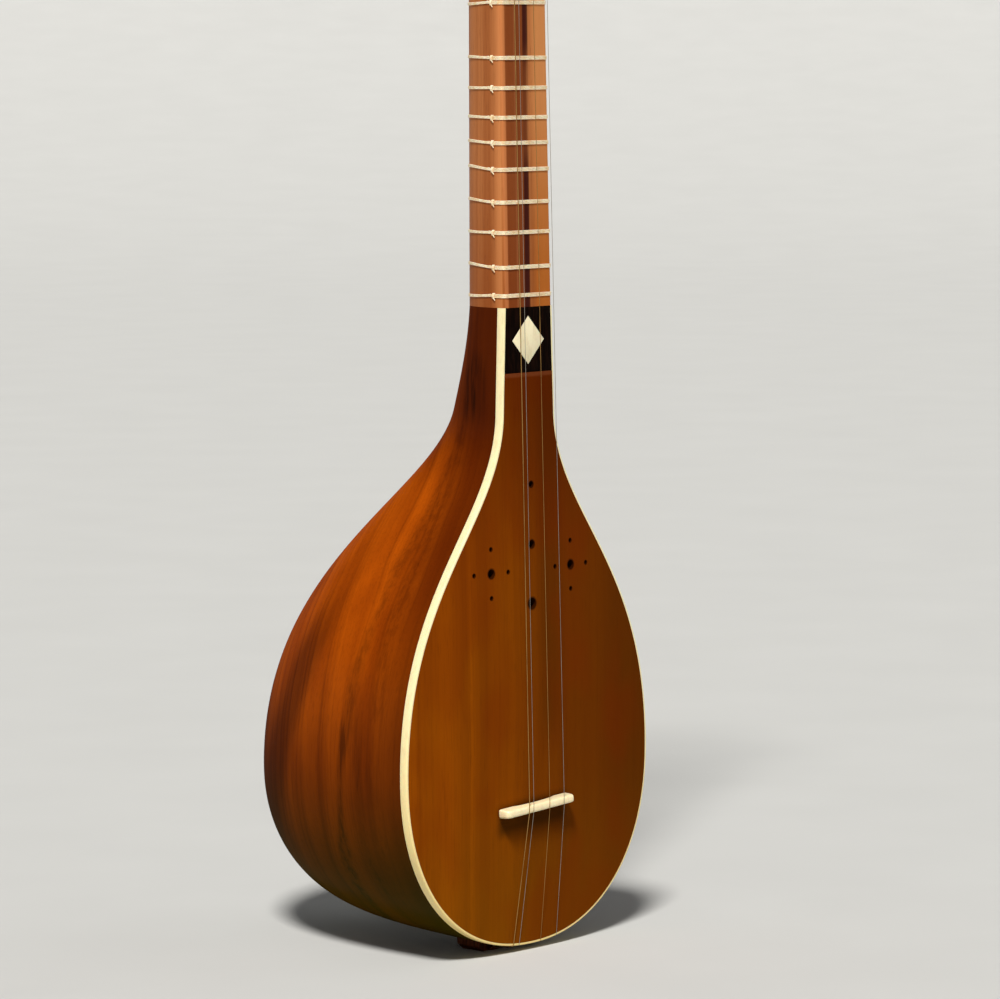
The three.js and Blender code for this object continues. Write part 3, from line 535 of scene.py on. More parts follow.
def skin(name, rings, closed=False, sharp=35):
    count = len(rings[0])
    points = [p for ring in rings for p in ring]
    faces = []
    for i in range(len(rings) if closed else len(rings) - 1):
        here, there = i * count, (i + 1) % len(rings) * count
        for j in range(count):
            k = (j + 1) % count
            faces.append((here + j, here + k, there + k, there + j))
    if not closed:
        last = (len(rings) - 1) * count
        faces.append(tuple(range(count))[::-1])
        faces.append(tuple(last + j for j in range(count)))
    piece = from_faces(name, points, faces, sharp)
    face_outward(piece)
    return piece


def face_outward(piece):
    mesh = piece.data
    volume = 0.0
    for face in mesh.polygons:
        corners = [mesh.vertices[i].co for i in face.vertices]
        for a, b in zip(corners[1:], corners[2:]):
            volume += corners[0].dot(a.cross(b))
    if volume < 0:
        mesh.flip_normals()


def keep(piece, finish, body, slot, *nodes):
    piece.data.materials.clear()
    piece.data.materials.append(finish)
    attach(piece, body)
    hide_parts(*nodes)
    print(piece.name, "has", len(piece.data.polygons), "faces")
    return piece


def settle(piece, sharp=35):
    seen = piece.evaluated_get(bpy.context.evaluated_depsgraph_get())
    piece.data = bpy.data.meshes.new_from_object(seen)
    piece.modifiers.clear()
    piece.data.shade_smooth()
    piece.data.set_sharp_from_angle(angle=math.radians(sharp))
    return piece


def cut(piece, *tools, sharp=35):
    for tool in tools:
        step = piece.modifiers.new("cut", "BOOLEAN")
        step.operation, step.solver, step.object = "DIFFERENCE", "EXACT", tool
    settle(piece, sharp)
    for tool in tools:
        bpy.data.objects.remove(tool)
    return piece


def round_edges(piece, width, segments=2, limit=30, sharp=35):
    step = piece.modifiers.new("round", "BEVEL")
    step.width, step.segments = width * MM, segments
    step.limit_method, step.angle_limit = "ANGLE", math.radians(limit)
    return settle(piece, sharp)


def box(name, x0, x1, y0, y1, z0, z1):
    return skin(name, [[(x, y, z0), (x, y, z1), (x, y1 + y0 - y, z1), (x, y1 + y0 - y, z0)]
                       for x, y in ((x0, y0), (x1, y0))])


# %% [markdown]
# Two curves carry the bowl. From the front it is half of a superellipse up to its widest place and then a Bezier
# curve into the throat. From the side it is the same with other numbers, and its deepest place lies lower.
# The side curve comes into the throat with a slope, and a second one carries on from it to the neck without a kink.
# Each level section between them is half of a superellipse, with its flat side to the front.

# %% The bowl's curves
FRONT_POWER, KEEL_POWER, KEEL_CORNER_POWER = 2.19, 1.97, 5


def bezier(t, a, b, c, d):
    return (1 - t) ** 3 * a + 3 * (1 - t) ** 2 * t * b + 3 * (1 - t) * t * t * c + t ** 3 * d


def ease(z, start_at, end_at, leave, arrive, slopes=(0, 0)):
    (z0, v0), (z3, v3) = start_at, end_at
    z1, z2 = z0 + (z3 - z0) * leave, z0 + (z3 - z0) * arrive
    low, high = 0.0, 1.0
    for _ in range(40):
        t = (low + high) / 2
        low, high = (t, high) if bezier(t, z0, z1, z2, z3) < z else (low, t)
    return bezier(t, v0, v0 - slopes[0] * (z1 - z0), v3 + slopes[1] * (z3 - z2), v3)


def half_width(z, inset=0.0):
    if z >= THROAT:
        share = (z - THROAT) / (BOWL_LENGTH - THROAT)
        return (THROAT_WIDTH + (JOINT_WIDTH - THROAT_WIDTH) * share) / 2 - inset
    if z >= BELLY:
        return ease(z, (BELLY, BOWL_WIDTH / 2), (THROAT, THROAT_WIDTH / 2), 0.546, 0.695) - inset
    drop = min(1.0, (BELLY - z) / (BELLY - inset))
    return (BOWL_WIDTH / 2 - inset) * (1 - drop ** FRONT_POWER) ** (1 / FRONT_POWER)


def section_depth(z, inset=0.0):
    if z >= THROAT:
        return ease(z, (THROAT, THROAT_DEPTH), (BOWL_LENGTH, JOINT_DEPTH), 1 / 3, 2 / 3, (0.3, 0.05)) - inset
    if z >= KEEL:
        return ease(z, (KEEL, BOWL_DEPTH), (THROAT, THROAT_DEPTH), 0.602, 0.773, (0, 0.3)) - inset
    drop = min(1.0, (KEEL - z) / (KEEL - inset))
    return (BOWL_DEPTH - inset) * (1 - drop ** KEEL_POWER) ** (1 / KEEL_CORNER_POWER)


def back_arc(half, depth, steps):
    arc = []
    for j in range(steps + 1):
        angle = math.pi * j / steps
        across = abs(math.cos(angle)) ** (2 / SECTION_POWER) * math.copysign(1, math.cos(angle))
        behind = depth * math.sin(angle) ** (2 / SECTION_POWER) if 0 < j < steps else 0.0
        arc.append((half * across, behind))
    return arc


TAIL_RISE = 4.2


def bowl_ring(z, inset=0.0, steps=72):
    lean = TAIL_RISE / BOWL_DEPTH * max(0.0, 1 - z / BELLY)
    return [(x, y, z + lean * y) for x, y in back_arc(half_width(z, inset), section_depth(z, inset), steps)]


def bowl_heights(low, top, quarter, shoulder):
    heights = []
    for i in range(1, quarter + 1):
        turn = math.pi / 2 * i / quarter
        heights.append(low + (BELLY - low) * (1 - math.cos(turn) ** (2 / FRONT_POWER)))
    heights += [BELLY + (THROAT - BELLY) * i / shoulder for i in range(1, shoulder + 1)]
    heights += [THROAT + (BOWL_LENGTH - THROAT) * i / 14 for i in range(1, 15)]
    heights = [z for z in heights if z < top - 0.5] + [top]
    return [low + (heights[0] - low) * 0.1, *heights]


print("widest", round(2 * half_width(BELLY), 1), "deepest", round(section_depth(KEEL), 1))

# %% [markdown]
# The bowl is carved: a solid outside, a hollow inside with a thick front edge for the soundboard,
# and a step all round that edge for the pale strip. Each is a skin of rings, and Boolean cuts join them,
# much as gouges would.

# %% Bowl
def front_outline(inset, top=BOWL_LENGTH, quarter=48, shoulder=64):
    heights = bowl_heights(0, top, quarter, shoulder)
    right_side = [(0.0, 0.0)] + [(half_width(z), z) for z in heights[1:]]
    moved = []
    for i, (x, z) in enumerate(right_side):
        x0, z0 = right_side[max(i - 1, 0)]
        x1, z1 = right_side[min(i + 1, len(right_side) - 1)]
        length = math.hypot(x1 - x0, z1 - z0)
        if i == 0:
            moved.append((0.0, inset))
        else:
            level_z = z if i == len(right_side) - 1 else z + inset * (x1 - x0) / length
            moved.append((x - inset * (z1 - z0) / length, level_z))
    return [(-x, z) for x, z in moved[:0:-1]] + moved


def plate(name, outline, front, back, sharp=35):
    return skin(name, [[(x, y, z) for x, z in outline] for y in (front, back)], sharp=sharp)


STRIP_WIDTH, STRIP_DEPTH, SEAT, RIM_DEPTH, WALL = 1.0, 4.1, 2.5, 7, 3.4


def bowl_outside(name):
    return skin(name, [bowl_ring(z) for z in bowl_heights(0, BOWL_LENGTH, 56, 72)])


def make_bowl():
    bowl = bowl_outside("bowl_wood_body")
    inner_top = BOWL_LENGTH - 44
    hollow = skin("hollow", [bowl_ring(z, WALL, 48) for z in bowl_heights(WALL, inner_top, 36, 40)])
    cut(hollow, box("edge", -90, 90, -9, RIM_DEPTH, -9, 300))
    mouth = plate("mouth", front_outline(STRIP_WIDTH + 5, inner_top - 6), -9, RIM_DEPTH + 6)
    outer, inner = front_outline(-6), front_outline(STRIP_WIDTH + 0.05)[::-1]
    above = BOWL_LENGTH + 9
    step = plate(
        "step",
        [*outer, (outer[-1][0], above), (inner[0][0], above), *inner, (inner[-1][0], above), (outer[0][0], above)],
        -9, STRIP_DEPTH + 0.05,
    )
    return cut(bowl, hollow, mouth, step, box("seat", -95, 95, -9, SEAT, -9, 300), sharp=40)


keep(make_bowl(), MULBERRY, "instrument", "bowl_wood", "bowl")

# %% [markdown]
# The pale strip hides the seam between the soundboard and the bowl.
# It is one long profile swept round the front outline: each ring is a small section with eased corners,
# turned to face out from the outline.

# %% Edge strip
STRIP_PROFILE = (
    (0.4, 0.0), (0.16, 0.08), (0.04, 0.2), (0.0, 0.42), (0.0, 3.9), (0.1, STRIP_DEPTH),
    (STRIP_WIDTH, STRIP_DEPTH), (STRIP_WIDTH, 0.0),
)


def make_strip():
    lines = [[(x, y, z) for x, z in front_outline(inset)] for inset, y in STRIP_PROFILE]
    return skin("edge_strip", [list(ring) for ring in zip(*lines)], sharp=50)


keep(make_strip(), STRIP_BONE, "instrument", "bone", "binding")

# %% [markdown]
# The soundboard is only about two millimetres thick and slightly domed, so it catches the light unevenly.
# Its rows follow the front outline, each row rises in the middle, and thirteen holes are drilled through it:
# three down the middle, and a cross of five on each side.

# %% Soundboard
def dome(x, z):
    across = 1 - min(1.0, abs(x) / half_width(z)) ** 2
    return 1.8 * across * math.sin(math.pi * min(z, BOWL_LENGTH) / BOWL_LENGTH)


def rod(name, start_at, end_at, start_radius, end_radius, sides=32):
    a, b = Vector(start_at), Vector(end_at)
    turn = (b - a).to_track_quat("Z", "Y")
    rings = []
    for centre, radius in ((a, start_radius), (b, end_radius)):
        ring = []
        for i in range(sides):
            angle = 2 * math.pi * (i + 0.5) / sides
            spoke = turn @ Vector((radius * math.cos(angle), radius * math.sin(angle), 0))
            ring.append(tuple(centre + spoke))
        rings.append(ring)
    return skin(name, rings)


def sound_holes():
    return [rod("drill", (x, -9, z), (x, 9, z), size / 2, size / 2) for x, z, size in HOLES]


def make_soundboard():
    inset, top = STRIP_WIDTH + 0.02, INLAY_BASE - 0.02
    outline = front_outline(inset, top)
    rows = outline[len(outline) // 2 + 1:]
    low = outline[len(outline) // 2][1]
    columns = 36
    rings = []
    for half, z in [(rows[0][0] * 0.1, low + (rows[0][1] - low) * 0.1), *rows]:
        xs = [half * (2 * i / columns - 1) for i in range(columns + 1)]
        front = [(x, -dome(x, z) if abs(x) < half_width(z) else 0.0, z) for x in xs]
        rings.append(front + [(x, 2.2, z) for x in reversed(xs)])
    return cut(skin("soundboard_panel", rings), *sound_holes())


keep(make_soundboard(), BOARD, "instrument", "board_wood", "soundboard")

# %% [markdown]
# Over the joint of neck and bowl lies a dark plate with a pale diamond let into it.
# The pocket is a hair larger than the diamond, and both have eased edges, so a fine line shows between them.

# %% Plate and diamond
INLAY_MIDDLE = INLAY_BASE + 14.3


def diamond(grow):
    w, h = 10.5 + grow, 10.7 + grow
    return [(w, INLAY_MIDDLE), (0, INLAY_MIDDLE + h), (-w, INLAY_MIDDLE), (0, INLAY_MIDDLE - h)]


def make_plate():
    top = BOWL_LENGTH - 0.02
    low, high = (half_width(z) - STRIP_WIDTH - 0.02 for z in (INLAY_BASE, top))
    outline = [(low, INLAY_BASE), (high, top), (-high, top), (-low, INLAY_BASE)]
    body = plate("dark_plate", outline, 0, 2.2)
    return round_edges(cut(body, plate("pocket", diamond(0.05), -9, 1.5)), 0.12, 2)


keep(make_plate(), EBONY, "instrument", "dark_wood", "inlay_plate")
keep(round_edges(plate("pale_diamond", diamond(0), 0, 1.2), 0.14, 2), BONE, "instrument", "bone", "inlay_diamond")

# %% [markdown]
# The neck is one long taper, flat in front and round behind, with its two front edges rolled over.
# The head carries on from it and ends in a soft round-over. Four tapered holes take the pegs, and a slot the nut.

# %% Neck
def neck_face(z):
    return NUT_SETBACK * (z - BOWL_LENGTH) / (NUT - BOWL_LENGTH)


def neck_sizes(z):
    if z <= NUT:
        share = (z - BOWL_LENGTH) / (NUT - BOWL_LENGTH)
        return (JOINT_WIDTH + (NUT_WIDTH - JOINT_WIDTH) * share) / 2, JOINT_DEPTH + (NUT_DEPTH - JOINT_DEPTH) * share
    share = (z - NUT) / HEAD_LENGTH
    return (NUT_WIDTH + (HEAD_WIDTH - NUT_WIDTH) * share) / 2, NUT_DEPTH + (HEAD_DEPTH - NUT_DEPTH) * share


def neck_ring(z, grow=0.0, arc=40, corner=6):
    half, depth = neck_sizes(z)
    edge = max(1.5 + grow, 0.3)
    back = [p for p, plain in zip(back_arc(half + grow, depth + grow, arc), back_arc(half, depth, arc)) if plain[1] > 2]

    def rolled(side):
        turns = [math.pi / 2 * i / corner for i in range(corner + 1)]
        return [(side * (half + grow - edge * (1 - math.cos(t))), edge * (1 - math.sin(t)) - grow) for t in turns]

    return [(x, neck_face(z) + y, z) for x, y in rolled(-1) + rolled(1)[::-1] + back]


PEG_HEIGHTS = (78, 38, 98, 58)
PEG_RADIUS, PEG_TIP, PEG_BARE, KNOB = 4.3, 3.7, 13, 24
PEG_THROUGH = NUT_DEPTH + 2


def peg_place(i):
    z = NUT + PEG_HEIGHTS[i]
    if i < 2:
        return Vector((0, neck_face(z), z)), Vector((0, -1, 0))
    return Vector((-neck_sizes(z)[0], neck_face(z) + 9.5, z)), Vector((-1, 0, 0))


def peg_bore(i):
    root, out = peg_place(i)
    slope = (PEG_TIP - PEG_RADIUS) / PEG_THROUGH
    ends = [(root - out * d, PEG_RADIUS + slope * d + 0.06) for d in (-6, min(NUT_DEPTH + NUT_WIDTH, 35.5))]
    return rod("bore", ends[0][0], ends[1][0], ends[0][1], ends[1][1], 48)


def make_neck():
    heights = [BOWL_LENGTH + 0.02] + [BOWL_LENGTH + (NUT - BOWL_LENGTH) * i / 24 for i in range(1, 25)]
    heights += [NUT + (HEAD_LENGTH - 2.5) * i / 8 for i in range(1, 9)]
    rings = [neck_ring(z) for z in heights]
    for i in range(1, 7):
        turn = math.pi / 2 * i / 6
        rings.append(neck_ring(HEAD_TOP - 2.5 * (1 - math.sin(turn)), -1.4 * (1 - math.cos(turn))))
    neck = skin("neck_and_head", rings)
    slot = box("slot", -40, 40, -9, NUT_SETBACK + 2.45, NUT - 0.04, NUT + 3.04)
    return cut(neck, slot, *[peg_bore(i) for i in range(4)], sharp=40)


keep(make_neck(), NECK, "instrument", "neck_wood", "neck")

# %% [markdown]
# The bridge is a low bone bar that stands loose on the soundboard, turned a few degrees to tune the octaves.
# It thins towards its crest, its ends are round, a shallow arch parts its two feet, and each string has a notch.
# The nut is a smaller bone bar with the same notches.

# %% Bridge and nut
AT_BRIDGE = (14.5, 4.8, -5.9, -8.8)
AT_NUT = (10.2, 1.4, -7.4, -10.2)
AT_TAIL = (17.6, 6.9, -7.6, -11.6)
BRIDGE_SEAT = dome(0, BRIDGE) + 0.02
BRIDGE_FRONT = dome(0, BRIDGE) + 0.3 + 6.2
NUT_FRONT = NUT_SETBACK - 2.1
WIRE_RADIUS = (0.11, 0.12, 0.11, 0.19)


def bridge_outline():
    half, tall, foot, arch, bend_radius = 22.5, BRIDGE_FRONT - BRIDGE_SEAT, 9, 1.4, 2.4
    line = [(-half, 0), (-half + foot, 0)]
    for i in range(1, 12):
        t = i / 12
        line.append((-half + foot + t * 2 * (half - foot), arch * math.sin(math.pi * t) ** 0.5))
    line += [(half - foot, 0), (half, 0)]
    for i in range(9):
        turn = math.pi / 2 * i / 8
        line.append((half - bend_radius * (1 - math.cos(turn)), tall - bend_radius * (1 - math.sin(turn))))
    for i in range(9):
        turn = math.pi / 2 * (1 - i / 8)
        line.append((-half + bend_radius * (1 - math.cos(turn)), tall - bend_radius * (1 - math.sin(turn))))
    return line


def make_bridge():
    rings = []
    for side in (-1, 1):
        ring = []
        for x, tall in bridge_outline():
            thick = 4.2 + (3.4 - 4.2) * tall / 6.2
            ring.append((x, -BRIDGE_SEAT - tall, BRIDGE + side * thick / 2))
        rings.append(ring)
    bar = round_edges(skin("bone_bridge", rings), 1.1, 4)
    centre = at(0, 0, BRIDGE)
    turned = Matrix.Translation(centre) @ Matrix.Rotation(-BRIDGE_TURN, 4, "Y") @ Matrix.Translation(-centre)
    bar.data.transform(turned)
    notches = [
        rod("notch", (x, -BRIDGE_FRONT - r * 0.2, BRIDGE - 20), (x, -BRIDGE_FRONT - r * 0.2, BRIDGE + 20),
            r + 0.16, r + 0.16, 12)
        for x, r in zip(AT_BRIDGE, WIRE_RADIUS)
    ]
    return cut(bar, *notches)


def make_nut():
    half = neck_sizes(NUT + 3)[0]
    bar = round_edges(box("bone_nut", -half, half, NUT_FRONT, NUT_SETBACK + 2.4, NUT, NUT + 3), 0.4, 3)
    notches = [
        rod("notch", (x, NUT_FRONT - r * 0.2, NUT - 9), (x, NUT_FRONT - r * 0.2, NUT + 9), r + 0.14, r + 0.14, 12)
        for x, r in zip(AT_NUT, WIRE_RADIUS)
    ]
    return cut(bar, *notches)


keep(make_bridge(), BONE, "instrument", "bone", "bridge")
keep(make_nut(), BONE, "instrument", "bone", "nut")

# %% [markdown]
# Under the bowl's end sits a small dark tailpiece, cut to the bowl's curve, with a hole for each string.

# %% Tailpiece
TAIL_HOLE = -TAIL_STAND / 2


def make_tailpiece():
    outline = [(-17, -TAIL_STAND), (17, -TAIL_STAND), (21, 0), (21, 2.8), (-21, 2.8), (-21, 0)]
    block = plate("tail_block", outline, TAIL_SETBACK, TAIL_SETBACK + TAIL_DEPTH)
    under = bowl_outside("under")
    holes = [
        rod("hole", (x, TAIL_SETBACK - 6, TAIL_HOLE), (x, TAIL_SETBACK + 18, TAIL_HOLE), 0.6, 0.6, 16) for x in AT_TAIL
    ]
    return round_edges(cut(block, under, *holes), 0.3, 2, 50)


keep(make_tailpiece(), PEG_WOOD, "instrument", "peg_wood", "tailpiece")

# %% [markdown]
# Wound things are tubes along a list of points. `tube` carries a small ring along the list and turns it no more
# than the path does, so the tube doesn't twist. Several tubes can share one mesh.

# %% Tubes
def tube_parts(path, radius, sides=8, closed=False, first=0):
    points, faces = [], []
    count = len(path)
    side = None
    for i, here in enumerate(path):
        before = path[i - 1] if closed or i else here
        after = path[(i + 1) % count] if closed or i < count - 1 else here
        along = (Vector(after) - Vector(before)).normalized()
        if side is None:
            side = along.orthogonal().normalized()
        side = (side - along * side.dot(along)).normalized()
        other = along.cross(side)
        wide = radius(i / max(1, count - 1)) if callable(radius) else radius
        for j in range(sides):
            angle = 2 * math.pi * j / sides
            points.append(tuple(Vector(here) + side * (wide * math.cos(angle)) + other * (wide * math.sin(angle))))
    for i in range(count if closed else count - 1):
        a, b = first + i * sides, first + (i + 1) % count * sides
        for j in range(sides):
            k = (j + 1) % sides
            faces.append((a + j, a + k, b + k, b + j))
    if not closed:
        faces.append(tuple(first + j for j in range(sides))[::-1])
        faces.append(tuple(first + (count - 1) * sides + j for j in range(sides)))
    return points, faces


def tubes(name, *parts):
    points, faces = [], []
    for path, radius, sides in parts:
        more, joined = tube_parts(path, radius, sides, first=len(points))
        points += more
        faces += joined
    return from_faces(name, points, faces, 60)


# %% [markdown]
# A fret is one thin strand of gut. It is laid round the neck four times, side by side, and tied on the left side,
# where its end is wound over the strands in a tight little knot and cut short.
# So each fret here is one spiral that steps sideways only behind the knot, three small loops over it, and a stub.
# Tied by hand, no two are alike: some slant up as they leave the knot.

# %% Frets
SLANTS = (-0.5, 0.6, 0.1, 0.5, 0.9, 1.5, 1.3, 0.1, 1.3, -0.5)
STRAND = 0.215
KNOT_SHARE = 0.21


def fret_line(z, grow):
    ring = neck_ring(z, grow, arc=56, corner=6)
    loop = [Vector((x, y, 0)) for x, y, _ in ring]
    depth = neck_sizes(z)[1]
    face = neck_face(z)
    left = [i for i, p in enumerate(loop) if p.x < 0 and p.y > face + depth * 0.1]
    knot = min(left, key=lambda i: abs(loop[i].y - face - depth * KNOT_SHARE))
    return loop[knot:] + loop[:knot]


def make_fret(i):
    z = BRIDGE + STRING_LENGTH * 2 ** (-CENTS[i] / 1200)
    slant = SLANTS[i - 15] if i >= 15 else chance.uniform(-0.3, 1.2)
    line = fret_line(z, STRAND + 0.06)
    count = len(line)
    lengths = [0.0]
    for a, b in zip(line, line[1:] + line[:1]):
        lengths.append(lengths[-1] + (b - a).length)
    whole = lengths[-1]
    toward_front = line[3].y < line[0].y
    path = []
    for turn in range(4):
        for j in range(count):
            share = lengths[j] / whole
            share = share if toward_front else 1 - share
            on_back = min(1.0, max(0.0, (share - 0.5) / 0.42))
            gather = 1 - 0.42 * on_back ** 1.5 * (1 if share < 0.97 else (1 - share) / 0.03)
            lift = slant * math.sin(math.pi * min(1.0, max(0.0, (share - 0.62) / 0.38))) ** 1.4
            step = turn + (share if toward_front else 1 - share) ** 24
            offset = (step - 1.5) * 2.02 * STRAND
            path.append((line[j].x, line[j].y, z + offset * gather + lift))
    knot_at = Vector((line[0].x, line[0].y, z))
    return tubes(f"gut_{i + 1:02d}", (path, STRAND, 7), *knot_parts(knot_at, line))


def knot_parts(centre, line):
    along = (line[2] - line[-2]).normalized()
    out = Vector((along.y, -along.x, 0))
    out = out if out.x < 0 else -out
    parts = []
    for k in (-1, 0, 1):
        loop = []
        for j in range(13):
            turn = math.radians(-118 + 236 * j / 12)
            reach = out * (0.44 * math.cos(turn) + 0.1) + Vector((0, 0, 1.12 * math.sin(turn)))
            loop.append(tuple(centre + along * (k * 0.44 + 0.03 * j) + reach))
        parts.append((loop, STRAND * 1.05, 6))
    stub = [
        tuple(centre + along * (0.3 + 0.2 * j) + out * (0.45 - 0.05 * j) + Vector((0, 0, -0.9 - 0.28 * j)))
        for j in range(5)
    ]
    parts.append((stub, lambda share: STRAND * (1.25 - 0.3 * share), 6))
    return parts


for number in range(len(CENTS)):
    node = f"fret_{number + 1:02d}"
    keep(make_fret(number), GUT, node + "_body", "gut", node)

# %% [markdown]
# The pegs are turned from dark wood: a bare tapered shaft through the head, a small collar, and a pear-shaped knob
# with eight hollow flutes, tipped by a bone button. A profile of shares is smoothed by a curve through its points,
# and each ring of the knob dips between its ridges.

# %% Pegs
KNOB_PROFILE = (
    (0, 0.5, 0), (0.03, 0.6, 0), (0.1, 0.62, 0), (0.14, 0.54, 0), (0.19, 0.42, 0), (0.27, 0.47, 0.1),
    (0.4, 0.72, 0.5), (0.54, 0.92, 0.95), (0.66, 1, 1), (0.76, 0.99, 1), (0.86, 0.9, 1), (0.93, 0.7, 0.5),
    (0.965, 0.52, 0), (0.985, 0.5, 0), (1, 0.4, 0),
)


def smooth_profile(rows, steps):
    fine = []
    for i in range(len(rows) - 1):
        a, b = rows[max(i - 1, 0)], rows[i]
        c, d = rows[i + 1], rows[min(i + 2, len(rows) - 1)]
        for k in range(steps):
            t = k / steps
            fine.append(tuple(
                0.5 * (2 * q + (r - p) * t + (2 * p - 5 * q + 4 * r - s) * t * t + (3 * q - p - 3 * r + s) * t ** 3)
                for p, q, r, s in zip(a, b, c, d)
            ))
    return fine + [rows[-1]]


def peg_ring(root, out, travel, radius, flute=0.0, sides=64):
    side = Vector((0, 0, 1))
    across = out.cross(side)
    ring = []
    for j in range(sides):
        angle = 2 * math.pi * j / sides
        reach = radius - flute * abs(math.sin(4 * angle))
        ring.append(tuple(root + out * travel + side * (reach * math.cos(angle)) + across * (reach * math.sin(angle))))
    return ring


def make_peg(i):
    root, out = peg_place(i)
    reach = PEG_THROUGH if i < 2 else NUT_WIDTH + 2
    rings = [peg_ring(root, out, -reach, PEG_TIP - 0.5), peg_ring(root, out, -reach + 0.15, PEG_TIP - 0.12)]
    rings += [peg_ring(root, out, -reach + 0.5, PEG_TIP), peg_ring(root, out, 0, PEG_RADIUS)]
    rings.append(peg_ring(root, out, PEG_BARE, PEG_RADIUS))
    for along, wide, flute in smooth_profile(KNOB_PROFILE, 4):
        rings.append(peg_ring(root, out, PEG_BARE + 0.3 + KNOB * along, 10 * wide, 1.1 * flute))
    return skin(f"turned_peg_{i + 1}", rings, sharp=48)


BUTTON_PROFILE = ((0, 0.6, 0), (0, 1, 0), (0.08, 1.0, 0), (0.25, 0.98, 0), (0.4, 0.86, 0), (0.52, 0.66, 0),
                  (0.64, 0.58, 0), (0.8, 0.56, 0), (0.92, 0.42, 0), (1, 0.12, 0))


def make_button(i):
    root, out = peg_place(i)
    seat = PEG_BARE + 0.3 + KNOB + 0.02
    rings = [peg_ring(root, out, seat + 4.78 * along, 3 * wide, sides=32) for along, wide, _ in BUTTON_PROFILE]
    return skin(f"bone_button_{i + 1}", rings, sharp=50)


for number in range(4):
    body = f"peg_{number + 1}_body"
    keep(make_peg(number), PEG_WOOD, body, "peg_wood", f"peg_{number + 1}")
    keep(make_button(number), BONE, body, "bone", f"peg_button_{number + 1}")

# %% [markdown]
# A string is hair-thin wire, 0.22 to 0.38 mm. From its knot behind the tailpiece it comes under the bowl's end,
# bends over the strip, stands on the bridge and the nut, and is wound on its peg.
# The two side strings bend over the head's left edge first.

# %% Strings
STRING_NODES = ("string_1_white", "string_2_yellow", "string_3_white", "string_4_bass")


def edge_height(x):
    reach = abs(x) / (BOWL_WIDTH / 2)
    return BELLY * (1 - (1 - reach ** FRONT_POWER) ** (1 / FRONT_POWER))


def touch_angle(start_at, centre, radius, sense):
    dx, dy = start_at[0] - centre[0], start_at[1] - centre[1]
    return math.atan2(dy, dx) + sense * math.acos(radius / math.hypot(dx, dy))


def winding(i, last, radius):
    root, out = peg_place(i)
    coil = PEG_RADIUS + radius
    turns, pitch = 5, 2.05 * radius + 0.05
    begin = PEG_BARE / 2 + 2.2
    front = i < 2
    centre = (root.x, root.z) if front else (root.y, root.z)
    from_at = (last.x, last.z) if front else (last.y, last.z)
    sense = 1 if front and AT_NUT[i] > root.x + PEG_RADIUS else -1
    first = touch_angle(from_at, centre, coil, sense)
    path = []
    for step in range(turns * 40 + 1):
        done = step / 40
        angle = first + sense * 2 * math.pi * done
        u, z = centre[0] + coil * math.cos(angle), centre[1] + coil * math.sin(angle)
        away = (root.y if front else root.x) - begin + pitch * done
        path.append((u, away, z) if front else (away, u, z))
    return path


def string_path(i):
    r = WIRE_RADIUS[i]
    tail_x, bridge_x, nut_x = AT_TAIL[i], AT_BRIDGE[i], AT_NUT[i]
    edge_x = tail_x + (bridge_x - tail_x) * 0.05
    low = edge_height(edge_x)
    path = [
        Vector((tail_x, TAIL_SETBACK + TAIL_DEPTH + 0.3, TAIL_HOLE)),
        Vector((tail_x, TAIL_SETBACK, TAIL_HOLE)),
        Vector((tail_x, TAIL_SETBACK - 0.6, TAIL_HOLE + 0.05)),
        Vector((edge_x, 0.6, low - r - 0.02)),
        Vector((edge_x, 0.2, low - r + 0.06)),
        Vector((edge_x, -r * 0.7, low + 0.25)),
        Vector((edge_x, -r - 0.02, low + 0.8)),
        Vector((bridge_x, -BRIDGE_FRONT - r * 0.2, BRIDGE - 1.2)),
        Vector((bridge_x, -BRIDGE_FRONT - r * 0.2, BRIDGE + 1.2)),
        Vector((nut_x, NUT_FRONT - r * 0.2, NUT + 0.4)),
        Vector((nut_x, NUT_FRONT - r * 0.2, NUT + 2.6)),
    ]
    if i > 1:
        root = peg_place(i)[0]
        side = -neck_sizes(root.z)[0] - r - 0.02
        away = root.x - PEG_BARE / 2 - 2.2
        front_run, side_run = path[-1].x - side, math.hypot(side - away, 9.5)
        share = front_run / (front_run + side_run)
        bend = path[-1].z + (root.z - path[-1].z) * share
        path.append(Vector((side + 0.3, neck_face(bend) - r - 0.05, bend)))
        path.append(Vector((side, neck_face(bend) + 0.3, bend + 0.6)))
    return path + [Vector(p) for p in winding(i, path[-1], r)]


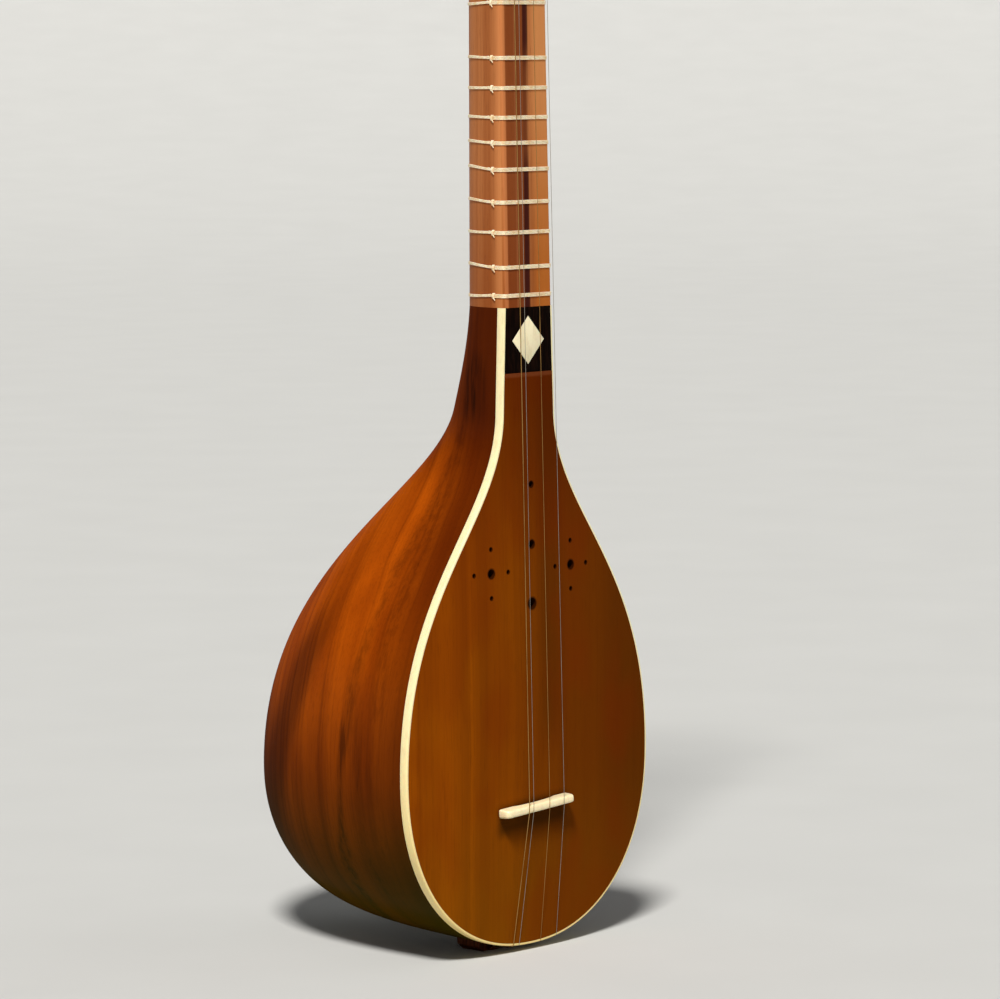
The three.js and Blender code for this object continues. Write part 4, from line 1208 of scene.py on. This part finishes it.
def string_knot(i):
    x, y, z = AT_TAIL[i], TAIL_SETBACK + TAIL_DEPTH + 0.42, TAIL_HOLE
    r = WIRE_RADIUS[i]
    path = []
    for j in range(49):
        turn = 2 * math.pi * j / 16
        wide = 0.42 + 0.12 * math.sin(turn * 1.5)
        path.append((x + wide * math.cos(turn), y + 0.25 * math.sin(turn / 3) + 0.1, z + wide * math.sin(turn)))
    return path, r, 6


for number, node in enumerate(STRING_NODES):
    finish, slot = (STEEL, "string_steel") if number % 2 == 0 else (BRONZE, "string_bronze")
    path = string_path(number)
    wire = tubes("wire_" + node, (path, WIRE_RADIUS[number], 8), string_knot(number))
    keep(wire, finish, "instrument", slot, node)
    sounding = sum((b - a).length for a, b in zip(path, path[1:]))
    print(node, "is", round(sounding), "mm long with its winding")

# %% [markdown]
# Last comes the floor, matt pale card that is flat for six metres round the instrument and then sweeps up,
# so that no horizon shows from any side. It carries a trace of mottling, because real card is never one flat
# colour. Neither the card nor the sky belongs to the instrument.

# %% Floor and sky
def floor_finish():
    material, place = start("pale_card")
    mottle = noise(place, (1, 1, 1), 0.01, 3)
    color = blend(mottle, tone(200, 200, 197), tone(206, 206, 203))
    return surface(material, place, color, 0.8 + mottle * 0.1, mottle, 0.1, 0.1)


def make_floor():
    spokes, rows = 96, 40
    points, faces = [(0, 0, -TAIL_STAND)], [(0, 1 + j, 1 + (j + 1) % spokes) for j in range(spokes)]
    for i in range(rows):
        reach = 18000 * ((i + 1) / rows) ** 2
        rise = 4500 * (max(0, reach - 6000) / 12000) ** 2
        for j in range(spokes):
            angle = 2 * math.pi * j / spokes
            points.append((reach * math.cos(angle), reach * math.sin(angle), rise - TAIL_STAND))
    for i in range(rows - 1):
        a, b = 1 + i * spokes, 1 + (i + 1) * spokes
        faces += [(a + j, b + j, b + (j + 1) % spokes, a + (j + 1) % spokes) for j in range(spokes)]
    floor = from_faces("floor", points, faces)
    floor.data.materials.append(floor_finish())
    return floor


make_floor()
world = bpy.data.worlds.new("sky")
world.use_nodes = True
sky = world.node_tree.nodes["Background"]
sky.inputs["Color"].default_value = tone(232, 236, 240)
sky.inputs["Strength"].default_value = 0.12
bpy.context.scene.world = world

# %% [markdown]
